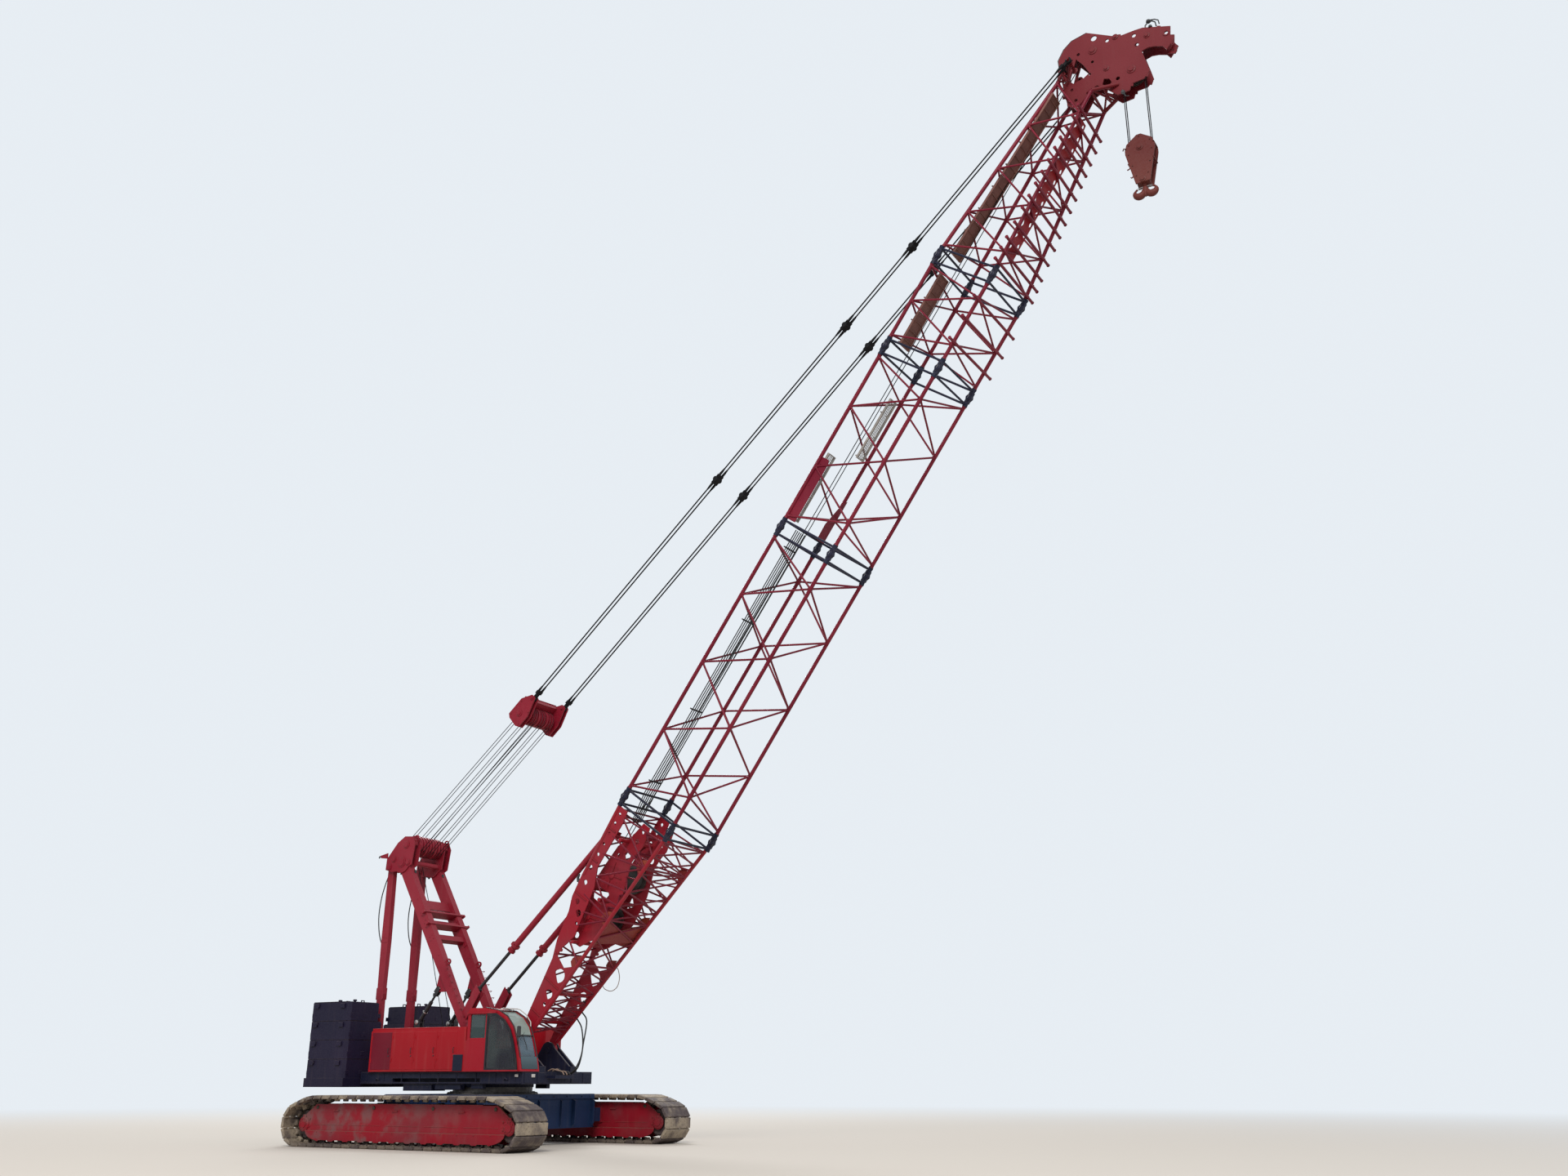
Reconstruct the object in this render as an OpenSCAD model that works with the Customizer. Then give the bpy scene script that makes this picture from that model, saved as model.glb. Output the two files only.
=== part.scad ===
/* [Crawlers] */
// Length over the track shoes
crawler_len = 9020; // [7500:10:10500]
// Distance between the two track centres
crawler_gauge = 6630; // [5600:10:7200]
// Width of a track shoe
shoe_w = 1220; // [800:10:1400]
// Height of the track loop
track_h = 1390; // [1200:10:1600]
// Radius over the shoes at the end wheels
track_end_r = 600; // [520:5:640]
// Half length of the level top run
top_run = 3400; // [2800:10:3800]
// Number of shoes in a loop
shoe_count = 56; // [40:1:70]
// Thickness of a shoe plate
shoe_t = 70; // [50:5:90]
// Depth of the links and drive lugs inside the shoes
link_t = 110; // [80:5:130]
// Width of the link row
link_w = 400; // [300:10:460]
// Width of the crawler side frame
frame_w = 520; // [460:10:640]
// Thickness of the side frame plates
frame_plate = 60; // [30:5:80]
// Number of bottom rollers in a side frame
roller_count = 11; // [8:1:13]

/* [Carbody] */
// Half length of the carbody
carbody_hl = 1800; // [1500:10:2100]
// Half width of the full depth part of the carbody
carbody_hw = 2600; // [2200:10:2700]
// Underside of the carbody
carbody_z = 450; // [400:10:600]
// Depth of the carbody
carbody_h = 950; // [800:10:1000]
// Diameter of the slew ring
slew_d = 2500; // [2000:10:2800]
// Height of the slew ring
slew_h = 200; // [150:10:250]

/* [Upperstructure] */
// Depth of the main frame
deck_h = 430; // [300:10:500]
// Half width of the main frame
deck_hw = 1560; // [1400:10:1620]
// Front end of the main frame
deck_front = 2480; // [2300:10:2700]
// Rear end of the wide part of the main frame
deck_rear = -3950; // [-4000:10:-3700]
// Outer side of the machinery houses
house_hw = 1660; // [1600:5:1700]
// Width of the open bay between the houses
bay_w = 1840; // [1780:10:1900]
// Rear end of the houses
house_rear = -3550; // [-3700:10:-3200]
// Front end of the right house above the window sill
house_front = 340; // [100:10:500]
// Height of the houses
house_h = 1240; // [1000:10:1400]
// Thickness of the sheet metal of houses and cab
sheet = 45; // [30:5:60]
// Height of the panel below the cab's rear window
sill_h = 850; // [700:10:1000]

/* [Cab] */
// Outer side of the cab
cab_out = -1690; // [-1800:10:-1640]
// Inner side of the cab
cab_in = -885; // [-900:5:-870]
// Rear wall of the cab
cab_rear = 400; // [360:10:600]
// Floor line of the doorway at its rear edge
door_rear = 1230; // [1150:10:1300]
// Thickness of the window panes
pane_t = 8; // [6:1:12]

/* [Boom] */
// Boom foot pin ahead of the slewing axis
boom_foot_x = 1565; // [1400:5:1700]
// Boom foot pin above the ground
boom_foot_z = 2642; // [2600:2:2700]
// Boom angle as the crane stands
boom_angle = 54.23; // [50:0.01:58]
// Width over the chord centres
boom_w = 2148; // [1900:2:2300]
// Depth over the chord centres
boom_d = 2048; // [1800:2:2200]
// Outer diameter of a chord
chord_d = 114; // [90:2:140]
// Outer diameter of a lacing tube
lace_d = 60; // [40:2:80]
// Half width between the boom foot lugs
foot_hw = 700; // [680:5:720]
// Length of the base section
base_len = 7900; // [7000:10:8500]
// Length of the long insert
insert_a_len = 9144; // [6096:1:12192]
// Length of the middle insert
insert_b_len = 6096; // [3048:1:9144]
// Length of the short insert
insert_c_len = 3048; // [3048:1:6096]
// Length of the tapered top section up to the head
top_len = 6200; // [5600:10:6800]
// Half length of a connector between two sections
joint_hl = 300; // [220:10:400]
// Radius of the boom foot pin
foot_pin_r = 75; // [60:1:90]

/* [Boom head] */
// Distance of the hoist sheave axis beyond the top section
hoist_s = 1058; // [900:2:1200]
// Hoist sheave axis below the boom centre line
hoist_o = -1027; // [-1100:1:-900]
// Rope line radius of the hoist sheaves
rope_r = 320; // [280:5:400]
// Half distance between the head cheeks, outside
cheek_hw = 400; // [340:5:460]
// Thickness of a head cheek
cheek_t = 40; // [25:5:60]
// Radius of the jib pin bores in the nose
jib_bore_r = 55; // [40:1:70]

/* [Hook block] */
// Sheave axis of the block below the head sheave axis
block_drop = 2640; // [2300:10:3000]
// Width of the block cheeks
block_w = 850; // [700:10:1100]
// Height of the block cheeks
block_h = 1580; // [1400:10:1700]
// Thickness over the block
block_t = 360; // [340:10:520]
// Diameter of the hoist rope
rope_d = 28; // [20:1:36]

/* [Gantry] */
// Half distance between the gantry legs
gantry_hw = 680; // [640:5:720]
// Gantry head shaft behind the slewing axis
gantry_x = -3800; // [-4200:10:-3400]
// Gantry head shaft above the ground
gantry_z = 8460; // [7800:10:9000]
// Width of a gantry leg across the machine
leg_w = 220; // [160:5:260]
// Foot pin of the front legs, ahead of the slewing axis
leg_foot_x = -190; // [-400:10:0]
// Foot pin of the front legs above the ground
leg_foot_z = 2620; // [2500:10:2800]
// Centre of the rear struts
strut_x = -4350; // [-4500:10:-4200]
// Width of a rear strut
strut_w = 240; // [180:5:300]

/* [Counterweight] */
// Rear end of the counterweight
weight_rear = -5720; // [-6000:10:-5500]
// Front end of the counterweight
weight_front = -4020; // [-4200:10:-4000]
// Inner side of a stack
weight_in = 860; // [840:10:1000]
// Outer side of a stack
weight_out = 2200; // [1900:10:2400]
// Thickness of the base tray
tray_h = 260; // [200:10:400]
// Height of one block
weight_h = 555; // [400:5:650]
// Number of blocks in a stack
weight_count = 4; // [2:1:5]

/* [Suspension] */
// Bridle pin in the boom's own frame, along the boom
bridle_s = 8460; // [7800:10:9000]
// Bridle pin above the boom centre line
bridle_o = 6385; // [6000:5:6700]
// Half distance between the pendant lines
pendant_hw = 740; // [720:5:760]
// Distance between the two strands of a pendant
strand_gap = 150; // [120:5:180]
// Diameter of a pendant strand
strand_d = 44; // [30:2:60]
// Backstop pin along the boom
stop_s = 6700; // [6400:10:7000]
// Backstop pin above the boom centre line
stop_o = 1150; // [1100:10:1300]
// Half distance between the backstops
stop_hw = 640; // [600:5:680]
// Backstop eye at the gantry leg, ahead of the slewing axis
stop_eye_x = -230; // [-400:10:-100]
// Backstop eye above the ground
stop_eye_z = 4400; // [4200:10:4600]
// Length of the visible backstop tube
stop_tube_len = 4880; // [4400:10:5100]

/* [Hidden] */

run_fit = 0.5;
sides = [-1, 1];
red = [0.78, 0.07, 0.1];
navy = [0.09, 0.09, 0.16];
blue = [0.05, 0.2, 0.42];
steel = [0.45, 0.45, 0.47];
black = [0.08, 0.08, 0.09];
dust = [0.5, 0.43, 0.36];

// Turn of a bar's flat sides about its own line
bar_turn = 8;

// Round bar or tube between two points, with n flat sides
module bar(a, b, d, n = 8) {
    v = b - a;
    translate(a) rotate([0, acos(v[2] / norm(v)), atan2(v[1], v[0])]) rotate(bar_turn) cylinder(h = norm(v), d = d, $fn = n);
}

// Plate whose outline is given in the side view, centred on y
module plate(y, t) {
    translate([0, y + t / 2, 0]) rotate([90, 0, 0]) linear_extrude(t) children();
}

// Round solid across the machine, centred on [x, y, z]
module roller(x, y, z, r, w, n = 32) {
    translate([x, y, z]) rotate([90, 0, 0]) cylinder(h = w, r = r, center = true, $fn = n);
}

// Box from its low corner to its high corner
module block(lo, hi) {
    translate(lo) cube(hi - lo);
}

module mirrored() {
    children();
    mirror([0, 1, 0]) children();
}

// Everything on the boom is drawn along x from the foot pin, with z away from the hook side
module on_boom() {
    translate([boom_foot_x, 0, boom_foot_z]) rotate([0, -boom_angle, 0]) children();
}

/* Crawlers: the loop runs round four circles, listed as [x, z, radius over the shoes] */
corner_r = 300;
loop_circles = [
    [-(crawler_len / 2 - track_end_r), track_end_r, track_end_r],
    [crawler_len / 2 - track_end_r, track_end_r, track_end_r],
    [top_run, track_h - corner_r, corner_r],
    [-top_run, track_h - corner_r, corner_r]];
function circle_at(i) = loop_circles[(i + 4) % 4];
function centre_of(i) = [circle_at(i)[0], circle_at(i)[1]];
function leave_angle(i) = let (v = centre_of(i + 1) - centre_of(i))
    atan2(v[1], v[0]) - acos((circle_at(i)[2] - circle_at(i + 1)[2]) / norm(v));
function turn_of(i) = let (d = leave_angle(i) - leave_angle(i - 1)) d - 360 * floor(d / 360);
function unit(a) = [cos(a), sin(a)];
function arc_len(i) = circle_at(i)[2] * turn_of(i) * PI / 180;
function run_len(i) = let (n = unit(leave_angle(i)))
    norm(centre_of(i + 1) + circle_at(i + 1)[2] * n - centre_of(i) - circle_at(i)[2] * n);
function loop_start(i) = i == 0 ? 0 : loop_start(i - 1) + arc_len(i - 1) + run_len(i - 1);
loop_len = loop_start(4);
shoe_pitch = loop_len / shoe_count;
function loop_part(s) = s < loop_start(1) ? 0 : s < loop_start(2) ? 1 : s < loop_start(3) ? 2 : 3;
// Point of the loop at distance s, moved in by depth
function loop_point(s, depth) = let (w = s - loop_len * floor(s / loop_len), i = loop_part(w), u = w - loop_start(i),
    a = leave_angle(i - 1) + min(u, arc_len(i)) / circle_at(i)[2] * 180 / PI,
    t = unit(a + 90), c = centre_of(i), r = circle_at(i)[2])
    c + (r - depth) * unit(a) + max(0, u - arc_len(i)) * t;
shoe_fill = 0.46;
gap_depth = 34;
shoe_outline = [for (k = [0 : shoe_count - 1], e = [0 : 3])
    loop_point((k + (e == 0 || e == 3 ? -shoe_fill : shoe_fill) + (e == 3 ? 1 : 0)) * shoe_pitch, e < 2 ? 0 : gap_depth)];
inner_edge = [for (k = [0 : shoe_count - 1]) loop_point((k + 0.5) * shoe_pitch, shoe_t)];
lug_outline = [for (k = [0 : shoe_count - 1], e = [0 : 3])
    loop_point((k + [-0.3, -0.2, 0.2, 0.3][e]) * shoe_pitch, shoe_t + link_t * [0.55, 1, 1, 0.55][e])];
rail_z = shoe_t + link_t;

module track(side) {
    color(dust) {
        plate(side * crawler_gauge / 2, shoe_w) difference() {
            polygon(shoe_outline);
            polygon(inner_edge);
        }
        plate(side * crawler_gauge / 2, link_w) difference() {
            polygon(inner_edge);
            polygon(lug_outline);
        }
    }
}

wheel_x = crawler_len / 2 - track_end_r;
wheel_r = track_end_r - rail_z - 42;
roller_r = 168;
roller_z = rail_z + roller_r + 0.3;
roller_span = 2 * (wheel_x - 880);
top_roller_r = corner_r - rail_z - 12;
top_roller_z = track_h - corner_r;
top_roller_x = [-top_run, -top_run / 3, top_run / 3, top_run];
frame_low = 425;
frame_top = track_h - 245;
frame_in = frame_w / 2 - frame_plate;
axle_r = 62;

function roller_x(k) = -roller_span / 2 + k * roller_span / (roller_count - 1);

module track_frame(side) {
    color(red) translate([0, side * crawler_gauge / 2, 0]) {
        for (e = sides) plate(e * (frame_w - frame_plate) / 2, frame_plate) {
            polygon([[-wheel_x - 60, 440], [-wheel_x + 180, frame_low], [wheel_x - 180, frame_low], [wheel_x + 60, 440],
                [wheel_x + 150, 560], [wheel_x + 120, 760], [top_run + 60, frame_top], [-top_run - 60, frame_top],
                [-wheel_x - 120, 760], [-wheel_x - 150, 560]]);
            for (k = [0 : roller_count - 1]) translate([roller_x(k), 0]) {
                translate([0, roller_z]) circle(r = 95, $fn = 24);
                translate([-95, roller_z]) square([190, frame_low - roller_z + 20]);
            }
        }
        block([-wheel_x + wheel_r + 60, -frame_in, frame_low + 110], [wheel_x - wheel_r - 60, frame_in, frame_top - 190]);
        block([-carbody_hl, -side * frame_w / 2 - 60, carbody_z + 130], [carbody_hl, -side * frame_w / 2 + 60, frame_top - 120]);
    }
}

module drive_sprocket(side) {
    color(steel) translate([-wheel_x, side * crawler_gauge / 2, track_end_r]) {
        plate(0, link_w - 180) difference() {
            circle(r = wheel_r, $fn = 48);
            for (k = [0 : 9]) rotate(36 * k + 18) translate([wheel_r + 26, 0]) circle(r = 62, $fn = 20);
        }
        roller(0, 0, 0, wheel_r - 110, link_w - 60);
        roller(0, 0, 0, axle_r, 2 * frame_in);
    }
}

module front_idler(side) {
    color(steel) translate([wheel_x, side * crawler_gauge / 2, track_end_r]) {
        roller(0, 0, 0, wheel_r - 40, link_w - 20, 48);
        for (e = sides) roller(0, e * 120, 0, wheel_r, 70, 48);
        roller(0, 0, 0, axle_r, 2 * frame_in);
    }
}

module track_rollers(side) {
    color(steel) translate([0, side * crawler_gauge / 2, 0]) {
        for (k = [0 : roller_count - 1]) {
            for (e = sides) roller(roller_x(k), e * 110, roller_z, roller_r, 90);
            roller(roller_x(k), 0, roller_z, 110, 300);
            roller(roller_x(k), 0, roller_z, 55, 2 * frame_in);
        }
        for (x = top_roller_x) {
            roller(x, 0, top_roller_z, top_roller_r, 240);
            roller(x, 0, top_roller_z, 45, 2 * frame_in);
        }
    }
}

/* Carbody with its two cross beams and the slew ring */
carbody_top = carbody_z + carbody_h;
beam_w = 800;
ring_z = carbody_top;
ring_gap = 0.3;
deck_z = ring_z + slew_h;
deck_top = deck_z + deck_h;
beam_end = crawler_gauge / 2 - frame_w / 2 - 60;

module carbody() {
    color(blue) {
        block([-carbody_hl + 200, -1500, carbody_z], [carbody_hl - 200, 1500, carbody_top]);
        for (e = sides) translate([e * (carbody_hl - beam_w / 2), 0, 0]) {
            block([-beam_w / 2, -carbody_hw, carbody_z], [beam_w / 2, carbody_hw, carbody_top]);
            block([-beam_w / 2 + 60, -beam_end, carbody_z + 160], [beam_w / 2 - 60, beam_end, frame_top - 140]);
        }
    }
}

module slew_ring() {
    color(steel) translate([0, 0, ring_z]) difference() {
        union() {
            cylinder(h = slew_h * 0.45, d = slew_d, $fn = 96);
            cylinder(h = slew_h, d = slew_d - 160, $fn = 96);
        }
        translate([0, 0, -1]) cylinder(h = slew_h + 2, d = slew_d - 700, $fn = 64);
    }
}

/* Main frame: deck, boom foot lugs, gantry foot lugs and the tail that carries the counterweight */
foot_lug_t = 60;
foot_gap = 12;
foot_boss_w = 140;
foot_lug_out = foot_hw + foot_boss_w / 2 + foot_gap + foot_lug_t;
foot_lug_in = foot_hw - foot_boss_w / 2 - foot_gap - foot_lug_t;
bay_hw = bay_w / 2;
tail_hw = 800;
tail_top = deck_top + 120;
leg_lug_t = 40;
leg_pin_r = 60;

module main_frame() {
    color(navy) {
        difference() {
            block([deck_rear, -deck_hw, deck_z + 90], [deck_front, deck_hw, deck_top]);
            for (e = sides) block([-2600, e * 1380 - 200, deck_z + 80], [900, e * 1380 + 200, deck_z + 250]);
            translate([0, 0, deck_z]) cylinder(h = deck_h + 10, d = 700, $fn = 48);
        }
        translate([0, 0, deck_z + ring_gap]) difference() {
            cylinder(h = 120, d = slew_d - 100, $fn = 96);
            translate([0, 0, -1]) cylinder(h = 130, d = slew_d - 640, $fn = 64);
        }
        block([weight_rear + 250, -tail_hw, deck_z + tray_h], [deck_rear + 100, tail_hw, tail_top]);
        mirrored() {
            for (y = [foot_lug_in + foot_lug_t / 2, foot_lug_out - foot_lug_t / 2]) plate(y, foot_lug_t) {
                polygon([[boom_foot_x - 700, deck_top - 10], [boom_foot_x - 200, boom_foot_z + 130],
                    [boom_foot_x + 230, boom_foot_z + 80], [deck_front - 60, deck_top + 150], [deck_front, deck_top - 10]]);
                translate([boom_foot_x, boom_foot_z]) circle(r = 240, $fn = 48);
            }
            roller(boom_foot_x, foot_hw, boom_foot_z, foot_pin_r, foot_lug_out - foot_lug_in + 40, 48);
            block([boom_foot_x + 270, foot_lug_in, deck_top - 10], [deck_front, foot_lug_out, deck_top + 150]);
            for (e = sides) plate(gantry_hw + e * (leg_w + leg_lug_t + 1) / 2, leg_lug_t) {
                polygon([[leg_foot_x - 420, deck_top - 10], [leg_foot_x - 130, leg_foot_z], [leg_foot_x + 130, leg_foot_z], [leg_foot_x + 420, deck_top - 10]]);
                translate([leg_foot_x, leg_foot_z]) circle(r = 130, $fn = 32);
            }
            roller(leg_foot_x, gantry_hw, leg_foot_z, leg_pin_r, leg_w + 2 * leg_lug_t + 30, 32);
        }
        block([deck_front - 40, -500, deck_z + 240], [deck_front + 330, 500, deck_z + 330]);
    }
}

/* Machinery houses: sheet shells that stand on the deck */
module house_shell(front, side) {
    y = side * (bay_hw + house_hw) / 2;
    w = house_hw - bay_hw;
    difference() {
        plate(y, w) polygon([[house_rear, deck_top], [house_rear, deck_top + house_h - 90],
            [house_rear + 90, deck_top + house_h], [front, deck_top + house_h], [front, deck_top]]);
        plate(y, w - 2 * sheet) polygon([[house_rear + sheet, deck_top - 10], [house_rear + sheet, deck_top + house_h - 90 - sheet / 2],
            [house_rear + 90 + sheet / 2, deck_top + house_h - sheet], [front - sheet, deck_top + house_h - sheet], [front - sheet, deck_top - 10]]);
        children();
    }
}

step_x = 30;
step_w = 300;
step_h = 460;
module house_right() {
    color(red) {
        house_shell(house_front, -1)
            block([step_x - step_w / 2, -house_hw - 10, deck_top - 10], [step_x + step_w / 2, -house_hw + sheet + 10, deck_top + step_h]);
        difference() {
            block([step_x - step_w / 2 - sheet, -house_hw, deck_top], [step_x + step_w / 2 + sheet, -house_hw + 330, deck_top + step_h + sheet]);
            block([step_x - step_w / 2, -house_hw - 10, deck_top + sheet], [step_x + step_w / 2, -house_hw + 330 - sheet, deck_top + step_h]);
        }
    }
}

left_front = 1150;
module house_left() {
    color(red) house_shell(left_front, 1)
        for (k = [0 : 8]) block([-3100 + 110 * k, house_hw - sheet - 5, deck_top + 420], [-3040 + 110 * k, house_hw + 5, deck_top + 980]);
}

module engine_block() {
    color(steel) block([-2500, bay_hw + sheet + 60, deck_top], [-600, house_hw - sheet - 60, deck_top + 1000]);
}

winch_x = -1500;
winch_z = deck_top + 520;
winch_plate_y = 500;
module luffing_winch() {
    color(steel) {
        for (e = sides) plate(e * winch_plate_y, 40) polygon([[winch_x - 520, deck_top], [winch_x - 300, winch_z + 250],
            [winch_x + 300, winch_z + 250], [winch_x + 520, deck_top]]);
        roller(winch_x, 0, winch_z, 320, 2 * winch_plate_y, 48);
        for (e = sides) roller(winch_x, e * (winch_plate_y - 60), winch_z, 460, 50, 48);
    }
}

/* Cab: the side profile, [x, z], runs from the rear foot over the roof to the front foot */
cab_floor = deck_top;
cab_profile = [[cab_rear, cab_floor], [cab_rear, 3700], [cab_rear + 80, 3790], [1030, 3780], [1560, 3690], [1890, 3520],
    [2130, 3250], [2290, 2880], [2440, 2400], [2520, cab_floor]];
cab_mid = (cab_out + cab_in) / 2;
cab_w = cab_in - cab_out;
window_z = deck_top + sill_h;
function unit2(v) = v / norm(v);
// The profile from point a to point b, moved inwards by d
function cab_line(d, a = 0, b = 9) = [for (i = [a : b]) let (t = unit2(cab_profile[min(i + 1, 9)] - cab_profile[max(i - 1, 0)]))
    cab_profile[i] + d * [t[1], -t[0]]];
// The curved front pane's line, 0.4 mm short of its opening at both ends
function pane_line(d) = let (l = cab_line(d, 4, 8)) [for (i = [0 : 4])
    l[i] + (i == 0 ? 0.4 * unit2(l[1] - l[0]) : i == 4 ? -0.4 * unit2(l[4] - l[3]) : [0, 0])];
function reversed(p) = [for (i = [len(p) - 1 : -1 : 0]) p[i]];
// Door opening and side window outlines
door_shape = [[door_rear, cab_floor + 90], [door_rear, 3560], [1500, 3540], [1790, 3390], [2000, 3140], [2140, 2820],
    [2270, 2400], [2330, cab_floor + 90]];
rear_window = [[cab_rear + 110, window_z + 70], [cab_rear + 110, 3600], [door_rear - 140, 3600], [door_rear - 140, window_z + 70]];
inner_window = [[door_rear, 2500], [door_rear, 3560], [1500, 3540], [1790, 3390], [2000, 3140], [2140, 2820], [2230, 2500]];
rail_h = 40;
rail_t = 58;
door_low = cab_floor + rail_h;
door_high = 3625;

module cab_shell() {
    color(red) {
        difference() {
            plate(cab_mid, cab_w) polygon(cab_profile);
            plate(cab_mid, cab_w - 2 * sheet) intersection() {
                polygon(cab_line(sheet));
                translate([cab_rear, cab_floor + sheet]) square([3000, 2000]);
            }
            plate(cab_out, 4 * sheet) polygon(door_shape);
            plate(cab_out, 4 * sheet) polygon(rear_window);
            plate(cab_in, 4 * sheet) polygon(rear_window);
            plate(cab_in, 4 * sheet) polygon(inner_window);
            plate(cab_mid, cab_w - 4 * sheet) polygon(concat(cab_line(-20, 4, 8), reversed(cab_line(sheet + 20, 4, 8))));
            block([cab_rear - 10, cab_out + 120, window_z + 70], [cab_rear + sheet + 10, cab_in - 120, 3600]);
        }
        block([house_front, -house_hw, deck_top], [cab_rear, -house_hw + sheet, window_z]);
        block([cab_rear, cab_out - rail_t, cab_floor], [2440, cab_out, door_low - 0.3]);
        block([cab_rear, cab_out - rail_t, door_high + 0.3], [1500, cab_out, door_high + rail_h]);
    }
}

module cab_windows() {
    color([0.35, 0.5, 0.52]) {
        plate(cab_out + sheet / 2, pane_t) polygon(rear_window);
        plate(cab_in - sheet / 2, pane_t) polygon(rear_window);
        plate(cab_in - sheet / 2, pane_t) polygon(inner_window);
        plate(cab_mid, cab_w - 4 * sheet - 0.6) polygon(concat(pane_line(sheet / 2 - pane_t), reversed(pane_line(sheet / 2))));
        block([cab_rear + sheet / 2, cab_out + 120, window_z + 70], [cab_rear + sheet / 2 + pane_t, cab_in - 120, 3600]);
    }
}

module operator_seat() {
    color(black) {
        block([950, cab_mid - 230, cab_floor + sheet], [1450, cab_mid + 230, cab_floor + 425]);
        plate(cab_mid, 480) polygon([[900, cab_floor + 420], [1500, cab_floor + 420], [1500, cab_floor + 540], [1080, cab_floor + 540],
            [960, cab_floor + 1250], [850, cab_floor + 1250]]);
    }
}

door_t = 40;
door_y = cab_out - door_t / 2 - 9;
module cab_door() {
    color(red) difference() {
        plate(door_y, door_t) polygon([[door_rear - 60, door_low], [door_rear - 60, door_high], [1500, door_high], [1840, 3440], [2075, 3170],
            [2220, 2840], [2350, 2410], [2410, door_low]]);
        plate(door_y, door_t + 10) polygon(door_shape);
    }
}

module cab_door_pane() {
    color([0.35, 0.5, 0.52]) plate(door_y, pane_t) polygon(door_shape);
}

/* Gantry: front legs, rear struts, head and raising cylinders */
leg_v = [gantry_x - leg_foot_x, gantry_z - leg_foot_z];
leg_len = norm(leg_v);
leg_tilt = atan2(leg_v[1], leg_v[0]);
head_plate_t = 40;
leg_top_pin_r = 130;
strut_pin_r = 60;

// Drawn up the leg from its foot pin, with z to the rear
module along_leg() {
    translate([leg_foot_x, 0, leg_foot_z]) rotate([0, -leg_tilt, 0]) children();
}
function on_leg(u, w) = [leg_foot_x + u * cos(leg_tilt) - w * sin(leg_tilt), leg_foot_z + u * sin(leg_tilt) + w * cos(leg_tilt)];

// Cross members as [share of the leg, depth, overhang beyond the leg]
leg_beams = [[0.575, 180, 0], [0.65, 200, 130], [0.71, 140, 130]];
ring_u = 0.43;
cyl_lug = [2440, 410];
cyl_pin_r = 36;
stop_fork_t = 34;
stop_eye_w = 90;
module gantry_front_legs() {
    color(red) {
        along_leg() {
            mirrored() {
                plate(gantry_hw, leg_w) difference() {
                    union() {
                        polygon([[0, -110], [1200, -120], [0.5 * leg_len, -185], [leg_len, -200], [leg_len, 200],
                            [0.5 * leg_len, 185], [1200, 120], [0, 110]]);
                        circle(r = 110, $fn = 32);
                        translate([leg_len, 0]) circle(r = 200, $fn = 48);
                    }
                    circle(r = leg_pin_r + run_fit, $fn = 32);
                    translate([leg_len, 0]) circle(r = leg_top_pin_r + run_fit, $fn = 48);
                }
                translate([ring_u * leg_len, gantry_hw, -240]) rotate([90, 0, 0]) difference() {
                    cylinder(h = 40, r = 95, center = true, $fn = 32);
                    cylinder(h = 50, r = 50, center = true, $fn = 32);
                }
                plate(gantry_hw, 60) difference() {
                    polygon([[cyl_lug[0] - 330, 100], [cyl_lug[0] - 100, cyl_lug[1] + 70], [cyl_lug[0] + 100, cyl_lug[1] + 70], [cyl_lug[0] + 480, 100]]);
                    translate(cyl_lug) circle(r = cyl_pin_r + run_fit, $fn = 32);
                }
            }
            for (b = leg_beams) {
                block([b[0] * leg_len - b[1] / 2, -gantry_hw - leg_w / 2, -130], [b[0] * leg_len + b[1] / 2, gantry_hw + leg_w / 2, 60]);
                if (b[2] > 0) block([b[0] * leg_len - b[1] / 2, -gantry_hw - leg_w / 2 - b[2], -230],
                    [b[0] * leg_len - b[1] / 2 + 60, gantry_hw + leg_w / 2 + b[2], -100]);
            }
            block([0.74 * leg_len, -gantry_hw, -20], [0.79 * leg_len, gantry_hw, 20]);
        }
        // Arms that take the backstop rods
        mirrored() for (e = sides) plate(stop_hw + e * (stop_eye_w / 2 + 14 + stop_fork_t / 2), stop_fork_t)
            polygon([on_leg(1250, -60), on_leg(950, -60), [stop_eye_x + 60, stop_eye_z - 190], [stop_eye_x + 110, stop_eye_z - 110], [stop_eye_x - 60, stop_eye_z + 130]]);
    }
}

strut_top = gantry_z - 120;
strut_hw = gantry_hw - 30;
module gantry_rear_struts() {
    color(red) mirrored() plate(strut_hw, leg_w - 60) translate([strut_x, 0]) difference() {
        union() {
            polygon([[-strut_w / 2 + 10, tail_top], [-strut_w / 2 - 20, tail_top + 250], [-strut_w / 2 + 10, 4200], [-strut_w / 2 - 30, 4380], [-strut_w / 2, 4560],
                [-strut_w / 2 - 30, 6000], [-strut_w / 2, strut_top], [strut_w / 2, strut_top], [strut_w / 2 + 30, 6000],
                [strut_w / 2, 4560], [strut_w / 2 + 30, 4380], [strut_w / 2 - 10, 4200], [strut_w / 2 + 20, tail_top + 250], [strut_w / 2 - 10, tail_top]]);
            translate([0, strut_top]) circle(d = strut_w, $fn = 32);
        }
        translate([0, strut_top]) circle(r = strut_pin_r + run_fit, $fn = 32);
    }
}

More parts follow.
